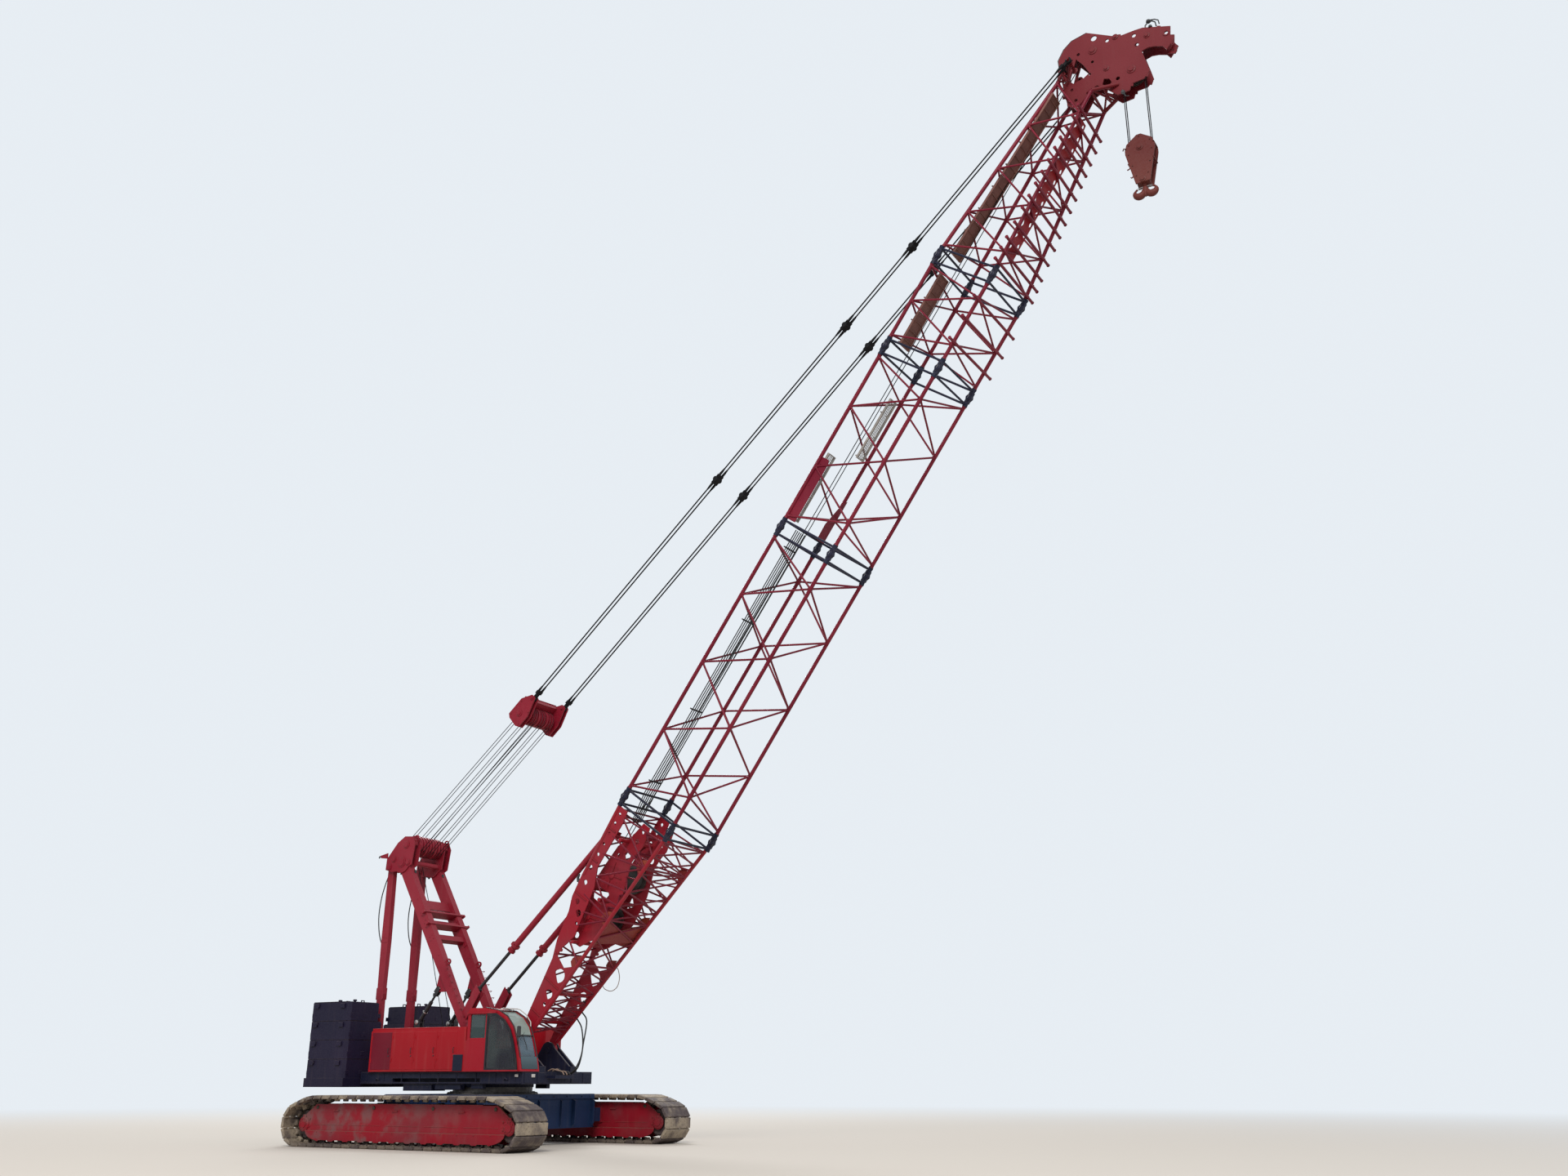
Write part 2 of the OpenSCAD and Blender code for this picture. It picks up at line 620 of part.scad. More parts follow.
shaft_up = [150, 560];
shaft_r = 80;
cheek_gap = leg_w + 1;
module gantry_head() {
    color(red) {
        mirrored() {
            for (e = sides) plate(gantry_hw + e * (cheek_gap + head_plate_t) / 2, head_plate_t) {
                translate([gantry_x, gantry_z]) circle(r = 340, $fn = 48);
                polygon([[gantry_x - 700, gantry_z - 200], [gantry_x - 680, gantry_z + 150], [gantry_x - 250, gantry_z + 640], [gantry_x + 60, gantry_z + 830],
                    [gantry_x + 400, gantry_z + 800], [gantry_x + 520, gantry_z + 560], [gantry_x + 430, gantry_z - 100], [gantry_x + 150, gantry_z - 250],
                    [gantry_x - 400, gantry_z - 290]]);
            }
            roller(gantry_x, gantry_hw, gantry_z, leg_top_pin_r, cheek_gap + 2 * head_plate_t + 60, 48);
            roller(strut_x, gantry_hw, strut_top, strut_pin_r, cheek_gap + 2 * head_plate_t + 30, 32);
        }
        for (p = [shaft_up, [-360, 120], [280, -20]])
            roller(gantry_x + p[0], 0, gantry_z + p[1], shaft_r, 2 * gantry_hw - cheek_gap, 32);
    }
}

sheave_r = 330;
sheave_n = 8;
sheave_pitch = 130;
module gantry_sheaves() {
    color(red) for (k = [0 : sheave_n - 1]) translate([gantry_x + shaft_up[0], (k - (sheave_n - 1) / 2) * sheave_pitch, gantry_z + shaft_up[1]])
        rotate([90, 0, 0]) difference() {
            cylinder(h = 80, r = sheave_r, center = true, $fn = 48);
            cylinder(h = 82, r = shaft_r + run_fit, center = true, $fn = 32);
        }
}

cyl_low = [-2570, 3480];
module gantry_cylinders() {
    top = on_leg(cyl_lug[0], cyl_lug[1]);
    a = [cyl_low[0], 0, cyl_low[1]];
    b = [top[0], 0, top[1]];
    color(black) mirrored() translate([0, gantry_hw, 0]) {
        bar(a, a + 0.6 * (b - a), 120, 16);
        bar(a, a + 0.86 * (b - a), 70, 16);
        roller(a[0], 0, a[2], 80, 120, 24);
        for (e = sides) {
            plate(e * 50, 30) polygon([[a[0] + 0.84 * (b[0] - a[0]) - 60, a[2] + 0.84 * (b[2] - a[2]) + 60], [b[0] - 50, b[2] + 60], [b[0] + 60, b[2] - 50],
                [a[0] + 0.84 * (b[0] - a[0]) + 60, a[2] + 0.84 * (b[2] - a[2]) - 60]]);
            plate(e * 85, 50) polygon([[a[0] - 160, deck_top], [a[0] - 90, a[2] + 90], [a[0] + 90, a[2] + 90], [a[0] + 160, deck_top]]);
        }
        block([a[0] + 0.80 * (b[0] - a[0]) - 50, -65, a[2] + 0.80 * (b[2] - a[2]) - 50], [a[0] + 0.80 * (b[0] - a[0]) + 50, 65, a[2] + 0.80 * (b[2] - a[2]) + 50]);
        roller(b[0], 0, b[2], cyl_pin_r, 140, 24);
        roller(a[0], 0, a[2], 45, 230, 24);
    }
}

/* Counterweight: tray and two stacks of blocks */
module counterweight_tray() {
    color(navy) block([weight_rear, -weight_out, deck_z], [weight_front, weight_out, deck_z + tray_h]);
}

module weight_outline(s, inner, cut) {
    polygon([[weight_rear + cut, s * (inner + cut)], [weight_front - cut, s * (inner + cut)], [weight_front - cut, s * (weight_out - 90)],
        [weight_front - 90, s * (weight_out - cut)], [weight_rear + 90, s * (weight_out - cut)], [weight_rear + cut, s * (weight_out - 90)]]);
}

module weight_stack(s) {
    color(navy) for (k = [0 : weight_count - 1]) {
        inner = weight_in + (k == weight_count - 1 ? 160 : 0);
        translate([0, 0, deck_z + tray_h + k * weight_h]) {
            linear_extrude(weight_h - 20) weight_outline(s, inner, 0);
            linear_extrude(weight_h) weight_outline(s, inner, 20);
            for (x = [weight_rear + 330, weight_front - 330]) block([x - 60, s * weight_out - 40, weight_h - 130], [x + 60, s * weight_out + 40, weight_h - 50]);
        }
    }
}

/* Boom sections */
corners = [[-1, 1], [1, 1], [1, -1], [-1, -1]];
joint_s = [base_len, base_len + insert_a_len, base_len + insert_a_len + insert_b_len,
    base_len + insert_a_len + insert_b_len + insert_c_len];
top_end = joint_s[3] + top_len;
// Half the distance between the tube ends at a joint
tube_end = joint_hl + 0.3;
head_hw = 560;
head_rear_o = 750;
head_front_o = -430;
// Cross sections as [half width, rear offset, front offset]
full = [boom_w / 2, boom_d / 2, -boom_d / 2];
tip = [head_hw, head_rear_o, head_front_o];
function mix(f, g, t) = f * (1 - t) + g * t;
function lattice_point(c, s, s0, s1, f, g) = let (q = mix(f, g, (s - s0) / (s1 - s0))) [s, c[0] * q[0], c[1] > 0 ? q[1] : q[2]];

// Keeps what lies between two distances along the boom
module between(lo, hi) {
    intersection() {
        union() children();
        block([lo, -3000, -3000], [hi, 3000, 3000]);
    }
}

// Four chords laced in zigzag on each face; s0 and s1 are the section joints
module lattice(s0, s1, bays, f, g, lo, hi) {
    pitch = (s1 - s0) / bays;
    for (c = corners) bar(lattice_point(c, lo, s0, s1, f, g), lattice_point(c, hi, s0, s1, f, g), chord_d, 12);
    for (i = [0 : 3], k = [0 : bays - 1], e = [0, 1]) {
        a = corners[i];
        b = corners[(i + 1) % 4];
        end = min(max(s0 + (k + e) * pitch, lo + 70), hi - 70);
        half = s0 + (k + 0.5) * pitch;
        bar(lattice_point(a, i % 2 == 0 ? end : half, s0, s1, f, g), lattice_point(b, i % 2 == 0 ? half : end, s0, s1, f, g), lace_d);
    }
}

module boom_insert(k, bays) {
    color(red) on_boom() lattice(joint_s[k], joint_s[k + 1], bays, full, full, joint_s[k] + tube_end, joint_s[k + 1] - tube_end);
}

// Transverse guard bars across the hook side, as shares of the insert and of the top section
bar_d = 90;
bar_over = 350;
insert_bars = [0.276, 0.512, 0.725];
top_bars = [0.06, 0.1165, 0.173, 0.252, 0.329, 0.394, 0.46, 0.523, 0.586, 0.652, 0.708, 0.766, 0.828, 0.886];
function taper(s) = mix(full, tip, max(0, (s - joint_s[3]) / top_len));
module guard(from, len, shares) {
    for (k = shares) let (s = from + k * len)
        bar([s, -taper(s)[0] - bar_over, taper(s)[2] - 60], [s, taper(s)[0] + bar_over, taper(s)[2] - 60], bar_d);
}

module boom_insert_c() {
    color(red) on_boom() {
        lattice(joint_s[2], joint_s[3], 2, full, full, joint_s[2] + tube_end, joint_s[3] - tube_end);
        guard(joint_s[2], insert_c_len, insert_bars);
    }
}

module boom_top() {
    color(red) on_boom() between(joint_s[3] + tube_end, top_end - 0.3) {
        lattice(joint_s[3], top_end, 4, full, tip, joint_s[3] + joint_hl - 20, top_end + 20);
        guard(joint_s[3], top_len, top_bars);
    }
}

// Connector at a section joint: eyes, pins and the two end frames
module section_connector(s) {
    for (c = corners) translate([s, c[0] * boom_w / 2, c[1] * boom_d / 2]) {
        for (e = sides) translate([e * joint_hl, 0, 0]) rotate([0, -e * 90, 0]) cylinder(h = 150, d = chord_d + 30, $fn = 8);
        block([-joint_hl + 120, -50, -75], [joint_hl - 120, 50, 75]);
        roller(0, 0, 0, 105, 130, 8);
        roller(0, 0, 0, 45, 210, 6);
    }
    for (e = sides, i = [0 : 3]) {
        a = corners[i];
        b = corners[(i + 1) % 4];
        bar([s + e * (joint_hl - 75), a[0] * boom_w / 2, a[1] * boom_d / 2], [s + e * (joint_hl - 75), b[0] * boom_w / 2, b[1] * boom_d / 2], 70);
    }
}

module section_connectors() {
    color(navy) on_boom() for (s = joint_s) section_connector(s);
}

/* Base section: tilted side sheets with chords, and the winch frames between them */
base_slope = (boom_w / 2 - foot_hw) / base_len;
function base_y(s) = foot_hw + base_slope * s;
function base_front(s) = -boom_d / 2 * s / base_len;
function base_rear(s) = boom_d / 2 - 0.02 * (base_len - s);
sheet_t = 40;
side_outline = [[-60, 150], [900, 330], [2740, 520], [3270, 700], [4160, 820], [4560, 970], [5330, 1040], [base_len, 1070],
    [base_len, 640], [7280, 600], [5740, 650], [5200, 400], [3700, 190], [3350, 320], [3120, 420],
    [2900, 400], [2760, 0], [3080, base_front(3080)], [300, base_front(300)], [0, -150]];
// D shaped lightening holes as [distance, offset, radius]
side_holes = [[2510, -20, 190], [1870, 10, 130], [1540, -20, 60], [4150, 560, 90], [4500, 640, 90], [5600, 880, 70], [6200, 860, 60], [6700, 850, 70], [7150, 850, 60]];
module side_sheet() {
    difference() {
        polygon(side_outline);
        for (h = side_holes) translate([h[0], h[1]]) rotate(50) {
            circle(r = h[2], $fn = 32);
            translate([-h[2], 0]) square([h[2] * 2, h[2] * 0.8]);
        }
    }
}

winch_1 = [4300, 350];
winch_2 = [5700, 330];
winch_in = 560;
winch_side_t = 40;
// Cross tubes of the base section as [distance, offset]
base_ties = [[900, 100], [2000, -160], [3520, 180], [5010, 60], [5010, 780], [6800, 420], [6700, 850]];
// Lacing of the base section: nodes on the chords by their distance along the boom
base_nodes = [3100, 4350, 5600, 6850, 7530];
stop_lug_t = 30;
stop_pin_r = 45;
stop_boss_w = 120;

module boom_base() {
    color(red) on_boom() {
        difference() {
            between(-400, base_len - tube_end) {
                mirrored() {
                    translate([0, foot_hw, 0]) rotate([0, 0, atan(base_slope)]) plate(0, sheet_t) side_sheet();
                    roller(0, foot_hw, 0, 230, foot_boss_w, 48);
                    bar([300, base_y(300), base_front(300)], [base_len, boom_w / 2, -boom_d / 2], chord_d, 12);
                    bar([5300, base_y(5300), base_rear(5300)], [base_len, boom_w / 2, boom_d / 2], chord_d, 12);
                }
                for (k = [0 : 3], e = sides) {
                    s0 = base_nodes[k];
                    s1 = base_nodes[k + 1];
                    f = k % 2 == 0 ? 1 : -1;
                    if (e == 1) bar([s0, f * base_y(s0), base_front(s0)], [s1, -f * base_y(s1), base_front(s1)], lace_d);
                    bar([s0, e * base_y(s0), k % 2 == 0 ? base_front(s0) : 800], [s1, e * base_y(s1), k % 2 == 0 ? 800 : base_front(s1)], lace_d);
                    if (e == 1 && k > 1) bar([s0, f * base_y(s0), base_rear(s0)], [s1, -f * base_y(s1), base_rear(s1)], lace_d);
                }
                for (s = [3100, 7530]) bar([s, -base_y(s), base_front(s)], [s, base_y(s), base_front(s)], lace_d);
                for (p = base_ties) bar([p[0], -base_y(p[0]), p[1]], [p[0], base_y(p[0]), p[1]], 120, 12);
                for (e = sides) plate(e * (winch_in + winch_side_t / 2), winch_side_t) difference() {
                    polygon([[3450, 60], [3400, 560], [4100, 880], [4300, 1180], [4480, 1180], [4560, 980], [5300, 780], [6700, 780], [6950, 300],
                        [6690, -60], [6340, -40], [5500, -330], [4620, -400], [3900, -250]]);
                    for (h = [[3720, 380, 90], [4900, 480, 110], [6400, 200, 90]]) translate([h[0], h[1]]) circle(r = h[2], $fn = 32);
                }
                // Lugs of the backstop pins
                mirrored() for (e = sides) plate(stop_hw + e * (stop_boss_w / 2 + 8 + stop_lug_t / 2), stop_lug_t) {
                    polygon([[stop_s - 140, 830], [stop_s + 140, 830], [stop_s + 70, stop_o + 60], [stop_s - 70, stop_o + 60]]);
                    translate([stop_s, stop_o]) circle(r = 90, $fn = 32);
                }
                mirrored() roller(stop_s, stop_hw, stop_o, stop_pin_r, stop_boss_w + 2 * stop_lug_t + 40, 32);
            }
            for (e = sides) roller(0, e * foot_hw, 0, foot_pin_r + run_fit, foot_boss_w + 200, 48);
        }
    }
}

module drum(c, r, flange) {
    roller(c[0], 0, c[1], r, 2 * winch_in, 48);
    for (e = sides) roller(c[0], e * (winch_in - 55), c[1], flange, 50, 48);
}

module main_winch() {
    color(steel) on_boom() drum(winch_1, 320, 470);
}

module second_winch() {
    color(steel) on_boom() drum(winch_2, 300, 430);
}

/* Boom head: two cheeks with the nose, standing on a frame across the chord ends */
head_outline = [[31890, -40], [31930, 280], [32280, 620], [32700, 1000], [33190, 1400], [33560, 1430], [33880, 1340], [34230, 1010],
    [34320, -40], [34610, -430], [34740, -630], [34960, -1440], [34720, -1580], [34650, -1760], [34250, -1740], [34320, -1570],
    [34270, -1320], [34190, -1140], [34050, -1020], [33750, -1360], [33530, -1600], [33260, -1560], [33040, -1280], [32830, -1340],
    [32610, -1070], [32720, -160], [32400, -160], [32220, -170], [31920, -160]];
head_base = 32388;
// Round holes of the cheeks as [distance, offset, radius]
head_holes = [[34110, 690, 90], [34130, 230, 55], [34450, -510, 60], [34200, -760, 60], [33300, 700, 60], [33400, 380, 45],
    [33090, -780, 60], [32420, 430, 50], [32150, 120, 50]];
jib_bore = [34730, -1440];
cheek_y = cheek_hw - cheek_t / 2;
hoist_axis = [top_end + hoist_s, hoist_o];
pendant_pin = [top_end + 612, 690];
pendant_pin_r = 45;
guide_axis = [top_end + 1350, 500];
module boom_head() {
    color(red) on_boom() {
        translate([top_end - head_base, 0, 0]) mirrored() {
            plate(cheek_y, cheek_t) difference() {
                polygon(head_outline);
                difference() {
                    polygon([[33270, 980], [32780, 980], [32680, 500], [32970, 260]]);
                    polygon([[33350, 850], [33300, 920], [32600, 640], [32640, 500]]);
                }
                for (h = head_holes) translate([h[0], h[1]]) circle(r = h[2], $fn = 32);
                translate(jib_bore) circle(r = jib_bore_r, $fn = 48);
            }
        }
        for (e = sides) block([top_end, e * 405 - 225, head_front_o - 60], [top_end + 120, e * 405 + 225, 800]);
        block([top_end, -400, head_rear_o - 60], [top_end + 120, 400, 800]);
        block([top_end, -400, head_front_o - 60], [top_end + 120, 400, head_front_o + 40]);
        mirrored() roller(pendant_pin[0], cheek_hw - 5 + 240, pendant_pin[1], pendant_pin_r, 480, 32);
        for (p = [hoist_axis, guide_axis]) roller(p[0], 0, p[1], 60, 2 * cheek_hw - 10, 32);
        for (p = [[top_end + 1900, 40], [top_end + 2150, -900], [top_end + 700, -700]]) roller(p[0], 0, p[1], 50, 2 * cheek_hw - 10, 24);
    }
}

rim = 35;
groove_w = 40;
module grooved_sheave(r, shaft) {
    rotate([90, 0, 0]) difference() {
        union() {
            cylinder(h = groove_w + 20, r = r - rope_d / 2 - 0.3, center = true, $fn = 64);
            for (e = sides) translate([0, 0, e * (groove_w / 2 + 7)]) cylinder(h = 14, r = r + rim, center = true, $fn = 64);
        }
        cylinder(h = 100, r = shaft + run_fit, center = true, $fn = 32);
    }
}

pair_hw = 90;
module head_sheaves() {
    color(steel) on_boom() {
        for (e = sides) translate([hoist_axis[0], e * pair_hw, hoist_axis[1]]) grooved_sheave(rope_r, 60);
        for (e = sides) translate([guide_axis[0], e * pair_hw, guide_axis[1]]) grooved_sheave(rope_r, 60);
    }
}

/* Hoist line, hook block and double hook, hanging plumb from the hoist sheaves */
hang_x = boom_foot_x + hoist_axis[0] * cos(boom_angle) - hoist_axis[1] * sin(boom_angle);
hang_z = boom_foot_z + hoist_axis[0] * sin(boom_angle) + hoist_axis[1] * cos(boom_angle);
block_z = hang_z - block_drop;

module hoist_falls() {
    color(black) for (a = sides, b = sides) translate([hang_x + a * rope_r, b * pair_hw, block_z]) cylinder(h = block_drop, d = rope_d, $fn = 16);
}

block_cheek = 40;
hook_seat = -block_h + 430;
shank_r = 60;
module hook_block() {
    color([0.45, 0.14, 0.1]) translate([hang_x, 0, block_z]) {
        for (e = sides) plate(e * (block_t - block_cheek) / 2, block_cheek) polygon([[-60, 430], [60, 430], [block_w / 2 - 60, 200], [block_w / 2, 0], [block_w / 2, -120], [210, hook_seat],
            [-210, hook_seat], [-block_w / 2, -120], [-block_w / 2, 0], [-block_w / 2 + 60, 200]]);
        for (e = sides) translate([0, e * pair_hw, 0]) grooved_sheave(rope_r, 50);
        roller(0, 0, 0, 50, block_t - 10, 32);
        difference() {
            block([-170, -block_t / 2 + 10, hook_seat], [170, block_t / 2 - 10, hook_seat + 170]);
            translate([0, 0, hook_seat - 1]) cylinder(h = 172, r = shank_r + run_fit, $fn = 48);
        }
    }
}

horn_r = 140;
horn_bar = 46;
horn_z = -200;
module hook() {
    color([0.45, 0.14, 0.1]) translate([hang_x, 0, block_z + hook_seat]) {
        translate([0, 0, horn_z - 130]) cylinder(h = 170 + 60 + 130 - horn_z, r = shank_r, $fn = 48);
        translate([0, 0, 171]) cylinder(h = 60, r = 105, $fn = 48);
        translate([0, 0, -60]) cylinder(h = 58, r = 90, $fn = 48);
        for (e = sides) translate([e * (horn_r + 30), 0, horn_z]) rotate([90, 0, 0])
            rotate([0, 0, e > 0 ? 180 : 120]) rotate_extrude(angle = 240, $fn = 48) translate([horn_r, 0]) circle(r = horn_bar, $fn = 24);
    }
}

/* Pendants and bridle, drawn from the bridle pin towards the boom head */
pendant_v = [pendant_pin[0] - bridle_s, pendant_pin[1] - bridle_o];
pendant_len = norm(pendant_v);
bridle_pin_r = 40;
socket_l = 260;
link_s = [insert_a_len, insert_a_len + insert_b_len, insert_a_len + insert_b_len + insert_c_len];
module along_pendant() {
    translate([bridle_s, 0, bridle_o]) rotate([0, -atan2(pendant_v[1], pendant_v[0]), 0]) children();
}

module pendants() {
    color(black) on_boom() along_pendant() mirrored() translate([0, pendant_hw, 0]) {
        for (e = sides) bar([socket_l, e * strand_gap / 2, 0], [pendant_len - socket_l, e * strand_gap / 2, 0], strand_d, 12);
        for (u = [0, pendant_len]) difference() {
            union() {
                roller(u, 0, 0, 90, 100, 32);
                block([u == 0 ? 0 : u - socket_l - 60, -50, -45], [u == 0 ? socket_l + 60 : u, 50, 45]);
                block([u == 0 ? socket_l - 60 : u - socket_l - 60, -strand_gap / 2 - 35, -40], [u == 0 ? socket_l + 60 : u - socket_l + 60, strand_gap / 2 + 35, 40]);
            }
            roller(u, 0, 0, (u == 0 ? bridle_pin_r : pendant_pin_r) + run_fit, 120, 32);
        }
        for (u = link_s) {
            block([u - 170, -strand_gap / 2 - 40, -45], [u + 170, strand_gap / 2 + 40, 45]);
            roller(u, 0, 0, 80, strand_gap + 120, 24);
        }
    }
}

bridle_side_t = 40;
bridle_shaft = -650;
bridle_n = 8;
bridle_sheave_r = 300;
module bridle() {
    color(red) on_boom() along_pendant() {
        mirrored() {
            for (e = sides) plate(pendant_hw + e * (50 + 8 + bridle_side_t / 2), bridle_side_t)
                polygon([[70, -90], [90, 0], [70, 90], [-300, 330], [-950, 330], [-1020, 200], [-1020, -200], [-950, -330], [-500, -330]]);
            roller(0, pendant_hw, 0, bridle_pin_r, 2 * (58 + bridle_side_t) + 20, 32);
        }
        block([-420, -pendant_hw - 50, 120], [-160, pendant_hw + 50, 300]);
        roller(bridle_shaft, 0, 0, 70, 2 * pendant_hw + 100, 32);
        for (k = [0 : bridle_n - 1]) roller(bridle_shaft, (k - (bridle_n - 1) / 2) * sheave_pitch, 0, bridle_sheave_r, 80, 48);
    }
}

/* Backstops: the tube hangs on the boom, the rod reaches the arm on the gantry leg */
stop_top = [boom_foot_x + stop_s * cos(boom_angle) - stop_o * sin(boom_angle), boom_foot_z + stop_s * sin(boom_angle) + stop_o * cos(boom_angle)];
stop_v = [stop_eye_x - stop_top[0], stop_eye_z - stop_top[1]];
stop_len = norm(stop_v);
stop_tube_d = 190;
stop_bore_d = 130;
stop_rod_d = 100;
module along_stop() {
    translate([stop_top[0], 0, stop_top[1]]) rotate([0, -atan2(stop_v[1], stop_v[0]), 0]) children();
}

module backstop_tubes() {
    color(red) along_stop() mirrored() translate([0, stop_hw, 0]) {
        difference() {
            union() {
                rotate([0, 90, 0]) translate([0, 0, 100]) cylinder(h = stop_tube_len - 100, d = stop_tube_d, $fn = 32);
                rotate([0, 90, 0]) translate([0, 0, stop_tube_len - 260]) cylinder(h = 60, d = stop_tube_d + 100, $fn = 32);
                rotate([0, 90, 0]) translate([0, 0, stop_tube_len - 60]) cylinder(h = 60, d = stop_tube_d + 60, $fn = 32);
                roller(0, 0, 0, 85, stop_boss_w, 32);
                block([0, -45, -60], [140, 45, 60]);
            }
            rotate([0, 90, 0]) translate([0, 0, 220]) cylinder(h = stop_tube_len, d = stop_bore_d, $fn = 32);
            roller(0, 0, 0, stop_pin_r + run_fit, stop_boss_w + 20, 32);
        }
    }
}

// Length of rod inside the tube at rest
stop_inside = 2900;
module backstop_rods() {
    color(black) along_stop() mirrored() translate([0, stop_hw, 0]) {
        rotate([0, 90, 0]) translate([0, 0, stop_tube_len - stop_inside]) {
            cylinder(h = stop_len - stop_tube_len + stop_inside, d = stop_rod_d, $fn = 32);
            cylinder(h = 200, d = stop_bore_d - 0.6, $fn = 32);
        }
        roller(stop_len, 0, 0, 75, stop_eye_w, 32);
    }
}

carbody();
slew_ring();
track_frame(-1);  // track_frame_right
track_frame(1);  // track_frame_left
track(-1);  // track_right
track(1);  // track_left
for (s = sides) drive_sprocket(s);  // drive_sprockets
for (s = sides) front_idler(s);  // front_idlers
track_rollers(-1);  // track_rollers_right
track_rollers(1);  // track_rollers_left
main_frame();
house_right();
house_left();
engine_block();
luffing_winch();
cab_shell();
cab_windows();
operator_seat();
cab_door();
cab_door_pane();
gantry_front_legs();
gantry_rear_struts();
gantry_head();
gantry_sheaves();
gantry_cylinders();
counterweight_tray();
weight_stack(-1);  // counterweight_right
weight_stack(1);  // counterweight_left
boom_base();
main_winch();
second_winch();
boom_insert(0, 4);  // boom_insert_a
boom_insert(1, 3);  // boom_insert_b
boom_insert_c();
boom_top();
boom_head();
head_sheaves();
section_connectors();
pendants();
bridle();
backstop_tubes();
backstop_rods();
hoist_falls();
hook_block();
hook();
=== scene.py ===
import math
import random

import bmesh
import bpy
from mathutils import Matrix, Vector


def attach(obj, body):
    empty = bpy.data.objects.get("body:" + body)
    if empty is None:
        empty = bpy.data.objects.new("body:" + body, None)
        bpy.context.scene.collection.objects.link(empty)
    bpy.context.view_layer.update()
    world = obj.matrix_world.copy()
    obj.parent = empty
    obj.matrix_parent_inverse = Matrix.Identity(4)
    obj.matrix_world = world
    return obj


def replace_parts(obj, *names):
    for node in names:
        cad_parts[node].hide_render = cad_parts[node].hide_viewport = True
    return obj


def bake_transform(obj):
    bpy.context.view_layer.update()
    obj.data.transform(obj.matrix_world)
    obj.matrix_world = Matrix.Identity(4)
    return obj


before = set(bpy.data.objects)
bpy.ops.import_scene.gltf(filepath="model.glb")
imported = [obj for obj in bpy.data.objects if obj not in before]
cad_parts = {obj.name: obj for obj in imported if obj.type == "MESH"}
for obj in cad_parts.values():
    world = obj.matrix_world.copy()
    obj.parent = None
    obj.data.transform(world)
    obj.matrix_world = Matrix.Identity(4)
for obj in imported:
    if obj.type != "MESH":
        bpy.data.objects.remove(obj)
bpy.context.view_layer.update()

# Viewing place: the camera stands near the ground, to the right and well ahead of the machine,
# and looks up along the boom with a moderately wide lens. The floor is pale packed sand, and
# two large soft lamps and a pale world light the machine evenly.
camera_data = bpy.data.cameras.new("view_camera")
camera_data.sensor_width = 36.0
camera_data.lens = 32.0
camera_data.clip_end = 2000.0
camera = bpy.data.objects.new("view_camera", camera_data)
camera.location = (30.32, -33.44, 1.759)
camera_tilt = math.radians(19.5)
camera_sight = Vector((-0.5162, 0.8565, math.tan(camera_tilt)))
camera.rotation_mode = "QUATERNION"
camera.rotation_quaternion = camera_sight.to_track_quat("-Z", "Y")
bpy.context.scene.collection.objects.link(camera)
bpy.context.scene.camera = camera
bpy.context.scene.view_settings.view_transform = "Standard"


def clear_tree(owner):
    owner.use_nodes = True
    for old in list(owner.node_tree.nodes):
        owner.node_tree.nodes.remove(old)
    return owner.node_tree


def soft_lamp(name, spot, size, watts, colour):
    data = bpy.data.lights.new(name, "AREA")
    data.shape = "DISK"
    data.size = size
    data.energy = watts
    data.color = colour
    lamp = bpy.data.objects.new(name, data)
    lamp.location = spot
    lamp.rotation_mode = "QUATERNION"
    lamp.rotation_quaternion = (Vector((8.0, 0.0, 10.0)) - Vector(spot)).to_track_quat("-Z", "Y")
    bpy.context.scene.collection.objects.link(lamp)


soft_lamp("key_lamp", (40.0, -62.0, 58.0), 34.0, 44000.0, (1.0, 0.97, 0.93))
soft_lamp("rim_lamp", (-42.0, 46.0, 56.0), 30.0, 30000.0, (0.95, 0.97, 1.0))


def add_node(tree, kind, operation=None, **sockets):
    """A shader node with its operation and its plain socket values."""
    node = tree.nodes.new("ShaderNode" + kind)
    if operation:
        node.operation = operation
    for name, value in sockets.items():
        node.inputs[name].default_value = value
    return node


def join_nodes(tree, *links):
    for out, socket in links:
        tree.links.new(out, socket)


world = bpy.data.worlds.new("studio_world")
bpy.context.scene.world = world
horizon = (0.80, 0.85, 0.90, 1.0)
sky = clear_tree(world)
sky_out, sky_mix, sky_path = (add_node(sky, kind) for kind in ("OutputWorld", "MixShader", "LightPath"))
sky_light = add_node(sky, "Background", Color=(0.86, 0.91, 1.0, 1.0), Strength=0.62)
sky_seen = add_node(sky, "Background", Color=horizon)
seen_or_glossy, seen_at_all = (add_node(sky, "Math", "MAXIMUM") for k in range(2))
join_nodes(
    sky,
    (sky_path.outputs["Is Camera Ray"], seen_or_glossy.inputs[0]),
    (sky_path.outputs["Is Glossy Ray"], seen_or_glossy.inputs[1]),
    (seen_or_glossy.outputs[0], seen_at_all.inputs[0]),
    (sky_path.outputs["Is Transmission Ray"], seen_at_all.inputs[1]),
    (seen_at_all.outputs[0], sky_mix.inputs["Fac"]),
    (sky_light.outputs[0], sky_mix.inputs[1]),
    (sky_seen.outputs[0], sky_mix.inputs[2]),
    (sky_mix.outputs[0], sky_out.inputs["Surface"]),
)

